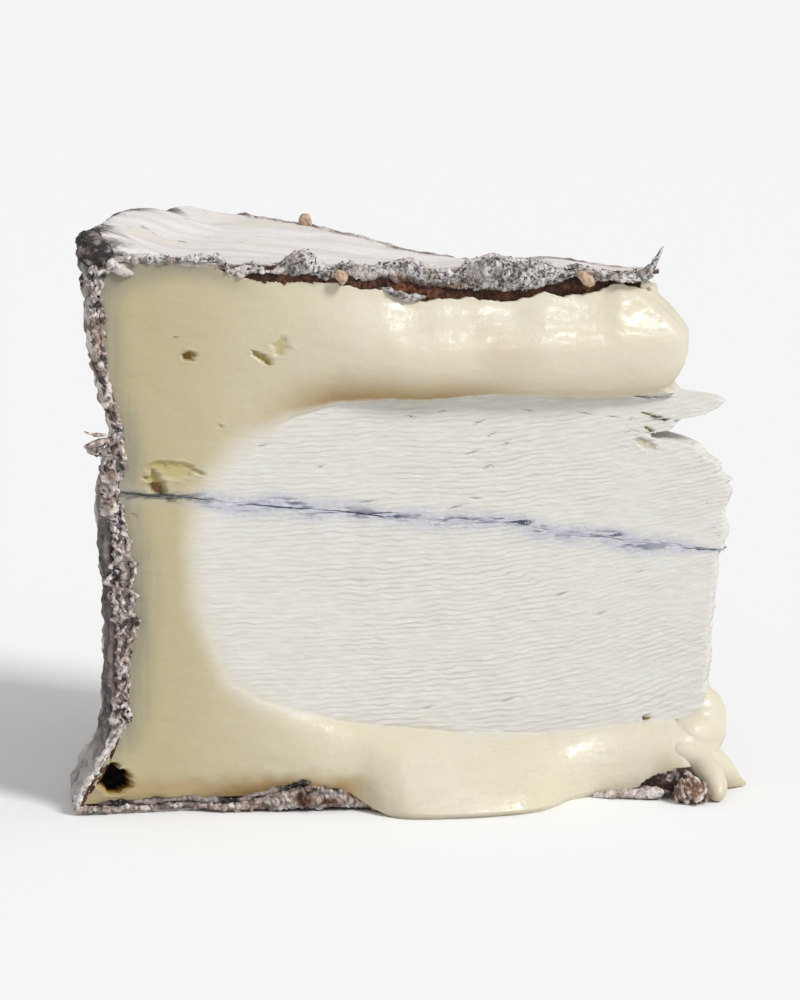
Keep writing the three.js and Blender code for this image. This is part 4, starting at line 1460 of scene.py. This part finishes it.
# %% The crust of the back cut
def back_crust(name, start, end, across, seed):
    """A fold over the skin's cut edge, between two shares of the way round the section."""
    r, z, thick, out_r, out_z = (values[:, -1] for values in skin_grid()[:5])
    span = slice(int(start * len(r)), int(end * len(r)), 2)
    middle = around(r - 0.5 * out_r * thick, z - 0.5 * out_z * thick, 1)[span]
    path = wandering(middle, 0.25, 2.4, seed, up=0.8)

    def marks(points, height):
        dark = patches(points, 2.4, seed + 4, 0.0, 0.5)
        brown = patches(points, 5, seed + 5, 0.2, 0.5)
        return {"crust": dark, "pink": 0.9 - 0.5 * dark, "flesh": 0.7 * brown, "folded": 0.9,
                "mould": 0.6 * dark * patches(points, 3, seed + 6, 0.0, 0.4, 1)}

    wide = 0.5 * thick[span] + 0.15
    fold(name, path, wide, 0.8, marks, knob=0.8, height=0.5, seed=seed, across=across, girth=30)


back_crust("back_top_crust", 0.005, 0.325, "up", 180)
back_crust("back_side_crust", 0.325, 0.635, "out", 190)
back_crust("back_base_crust", 0.635, 0.97, "up", 195)

# %% [markdown]
# ## Crumbs
#
# Dried mould and torn curd shed grains, a few tenths of a millimetre across, that cling to the crust
# and to the cut. Nobody would place hundreds of them by hand. A second tree scatters small uneven
# pebbles over a piece, more of them where its `crumbly` mark is high, and gives each its own shade.

# %% Tree that scatters crumbs over a piece
def crumb_tree():
    given = new_tree("scattered_crumbs", {
        "Host": "Geometry", "Crumbs per square metre": "Float", "Smallest": "Float", "Largest": "Float",
        "Grey share": "Float", "Seed": "Int", "Finish": "Material",
    })
    density = times(given["Crumbs per square metre"], kept("crumbly"))
    inputs = {"Mesh": given["Host"], "Density": density, "Seed": given["Seed"]}
    points = node("GeometryNodeDistributePointsOnFaces", inputs)
    pebble = node("GeometryNodeMeshIcoSphere", {"Radius": 1.0, "Subdivisions": 2})

    def dice(low, high, throw):
        """A random number or vector for each crumb; every throw has a seed of its own."""
        kind, index = ("FLOAT_VECTOR", 0) if isinstance(low, tuple) else ("FLOAT", 1)
        picks = Tree.now.nodes.new("FunctionNodeRandomValue")
        picks.data_type = kind
        ends = {key: [s for s in picks.inputs if s.name == key][index] for key in ("Min", "Max")}
        feed(ends, {"Min": low, "Max": high})
        feed(picks.inputs, {"Seed": plus(given["Seed"], float(throw))})
        return picks.outputs[index]

    size = dice(given["Smallest"], given["Largest"], 0)
    shape = scaled(dice((0.6, 0.6, 0.5), (1.3, 1.2, 1.0), 1), size)
    spin = dice((0, 0, 0), (6.28, 6.28, 6.28), 2)
    placed = {"Points": points, "Instance": pebble, "Scale": shape, "Rotation": spin}
    crumbs = node("GeometryNodeInstanceOnPoints", placed)
    grey = between(dice(0.0, 1.0, 3), 0.35, 0.65)
    dark = maths("GREATER_THAN", dice(0.0, 1.0, 4), 0.72)
    grey, dark = (times(share, given["Grey share"]) for share in (grey, dark))
    for name, value in (("crust", grey), ("mould", dark), ("from_ash", FAR_FROM_ASH)):
        crumbs = keep(crumbs, name, value, domain="INSTANCE")
    crumbs = node("GeometryNodeRealizeInstances", {"Geometry": crumbs})
    here = node("GeometryNodeInputPosition")
    uneven = node("ShaderNodeTexNoise", {"Vector": here, "Scale": 2600.0, "Detail": 1.0}, output="Color")
    uneven = scaled(vectors("SUBTRACT", uneven, (0.5, 0.5, 0.5)), given["Largest"])
    on_board = vectors("MAXIMUM", vectors("ADD", here, uneven), (-1, -1, 0.02 * MM))
    crumbs = node("GeometryNodeSetPosition", {"Geometry": crumbs, "Position": on_board})
    return finish_tree(crumbs, given["Finish"])


crumbs_over = crumb_tree()


# %% Scatter them
def crumbs(host, where, per_square_mm, smallest, largest, seed, grey=1.0):
    """Crumbs over a host piece; where gives the share of crumbs from the host's points."""
    mesh = host.data.copy()
    share = mesh.attributes.new("crumbly", "FLOAT", "POINT")
    share.data.foreach_set("value", np.clip(where(in_wheel(mesh)), 0, 1).astype(np.float32))
    return with_tree(linked(host.name + "_host", mesh), crumbs_over, {
        "Crumbs per square metre": per_square_mm / MM**2, "Smallest": smallest * MM,
        "Largest": largest * MM, "Grey share": grey, "Seed": seed, "Finish": host.data.materials[0],
    })


def on_front(points):
    uneven = 0.3 + 0.7 * patches(points, 5, 170, -0.1, 0.4, 1)
    return (points[:, 1] < 1.2) * smooth(93, 80, -points[:, 0]) * uneven


def on_side(points):
    return (points[:, 1] < 0.4) * patches(points, 4, 171, -0.1, 0.4, 1)


def at_cracks(points):
    r, z = -points[:, 0], points[:, 2]
    chalky_front = (points[:, 1] < 1.0) * (1 - smooth(0, 1, outside_core(r, z)))
    at_tip = 0.2 * smooth(5, 1, r - upper_tip(z)) * (z > 36) * (z < 58)
    near_ash = 0.12 * smooth(2, 0.5, np.abs(z - ash_height(r)))
    torn = hollow_depth(r, z, 0 * r) + hollow_depth(r + 0.4, z + 0.3, 0 * r)
    return chalky_front * np.clip(at_tip + near_ash + smooth(0.05, 0.4, torn), 0, 1)


for number, crust in enumerate(crusts):
    where = on_front if crust.name in ("top_crust", "curled_edge") else on_side
    mesh = crumbs(crust, where, per_square_mm=0.9, smallest=0.10, largest=0.26, seed=200 + number)
    add_piece(crust.name + "_crumbs", mesh, {}, "rind", "rind")
mesh = crumbs(upper_curd, at_cracks, per_square_mm=1.1, smallest=0.08, largest=0.22, seed=240, grey=0.0)
add_piece("curd_crumbs", mesh, {}, "core", "upper_core")

# %% [markdown]
# ## Board, camera and light
#
# The wedge stands on a plain white board. The key light is on the right in front, small enough to
# draw the ridges, and white surroundings fill the shadows.

# %% Board
def board():
    half = 4.0
    corner_points = [(-half, -half, 0), (half, -half, 0), (half, half, 0), (-half, half, 0)]
    mesh = bpy.data.meshes.new("board")
    mesh.from_pydata(corner_points, [], [(0, 1, 2, 3)])
    feed(new_finish("board"), {"Base Color": paint("f4f4f4"), "Roughness": 0.9})
    mesh.materials.append(finishes["board"])
    linked("board", mesh)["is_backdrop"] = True


board()

# %% Camera and lights
# In the wheel's millimetres.
CAMERA_PLACE = np.array([-172.5, -598.2, 146.0])
CAMERA_AIM = np.array([-52.1, 0.7, 44.8])
LENS = 152.7


def turned(thing, direction):
    """Turns a camera or a lamp so that it looks in a direction."""
    thing.rotation_euler = Vector(direction).to_track_quat("-Z", "Y").to_euler()


scene = bpy.context.scene
camera = linked("camera", bpy.data.cameras.new("camera"))
scene.camera = camera
camera.data.lens = LENS
camera.data.clip_start, camera.data.clip_end = 0.01, 20
camera.location = in_frame(CAMERA_PLACE)
turned(camera, CAMERA_AIM - CAMERA_PLACE)


def sun_light(name, azimuth, elevation, softness, strength):
    """Light from a direction, as seen from above: azimuth 0 is in front and 90 on the right."""
    a, e = math.radians(azimuth), math.radians(elevation)
    light = bpy.data.lights.new(name, "SUN")
    light.energy, light.angle = strength, math.radians(softness)
    turned(linked(name, light), (-math.sin(a) * math.cos(e), math.cos(a) * math.cos(e), -math.sin(e)))


sun_light("key", azimuth=40, elevation=42, softness=16, strength=2.2)
world = bpy.data.worlds.new("surroundings")
scene.world = world
world.use_nodes = True
surroundings = world.node_tree.nodes["Background"].inputs
surroundings["Color"].default_value = (1, 1, 1, 1)
surroundings["Strength"].default_value = 0.56
scene.view_settings.view_transform = "Standard"
scene.view_settings.look = "None"

# %% Sizes against the model
visual_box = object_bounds()
grown = [(visual_box[0] - cad_box[0]) / MM, (visual_box[1] - cad_box[1]) / MM]
print("visual against model, mm:", [[round(c, 2) for c in corner] for corner in grown])
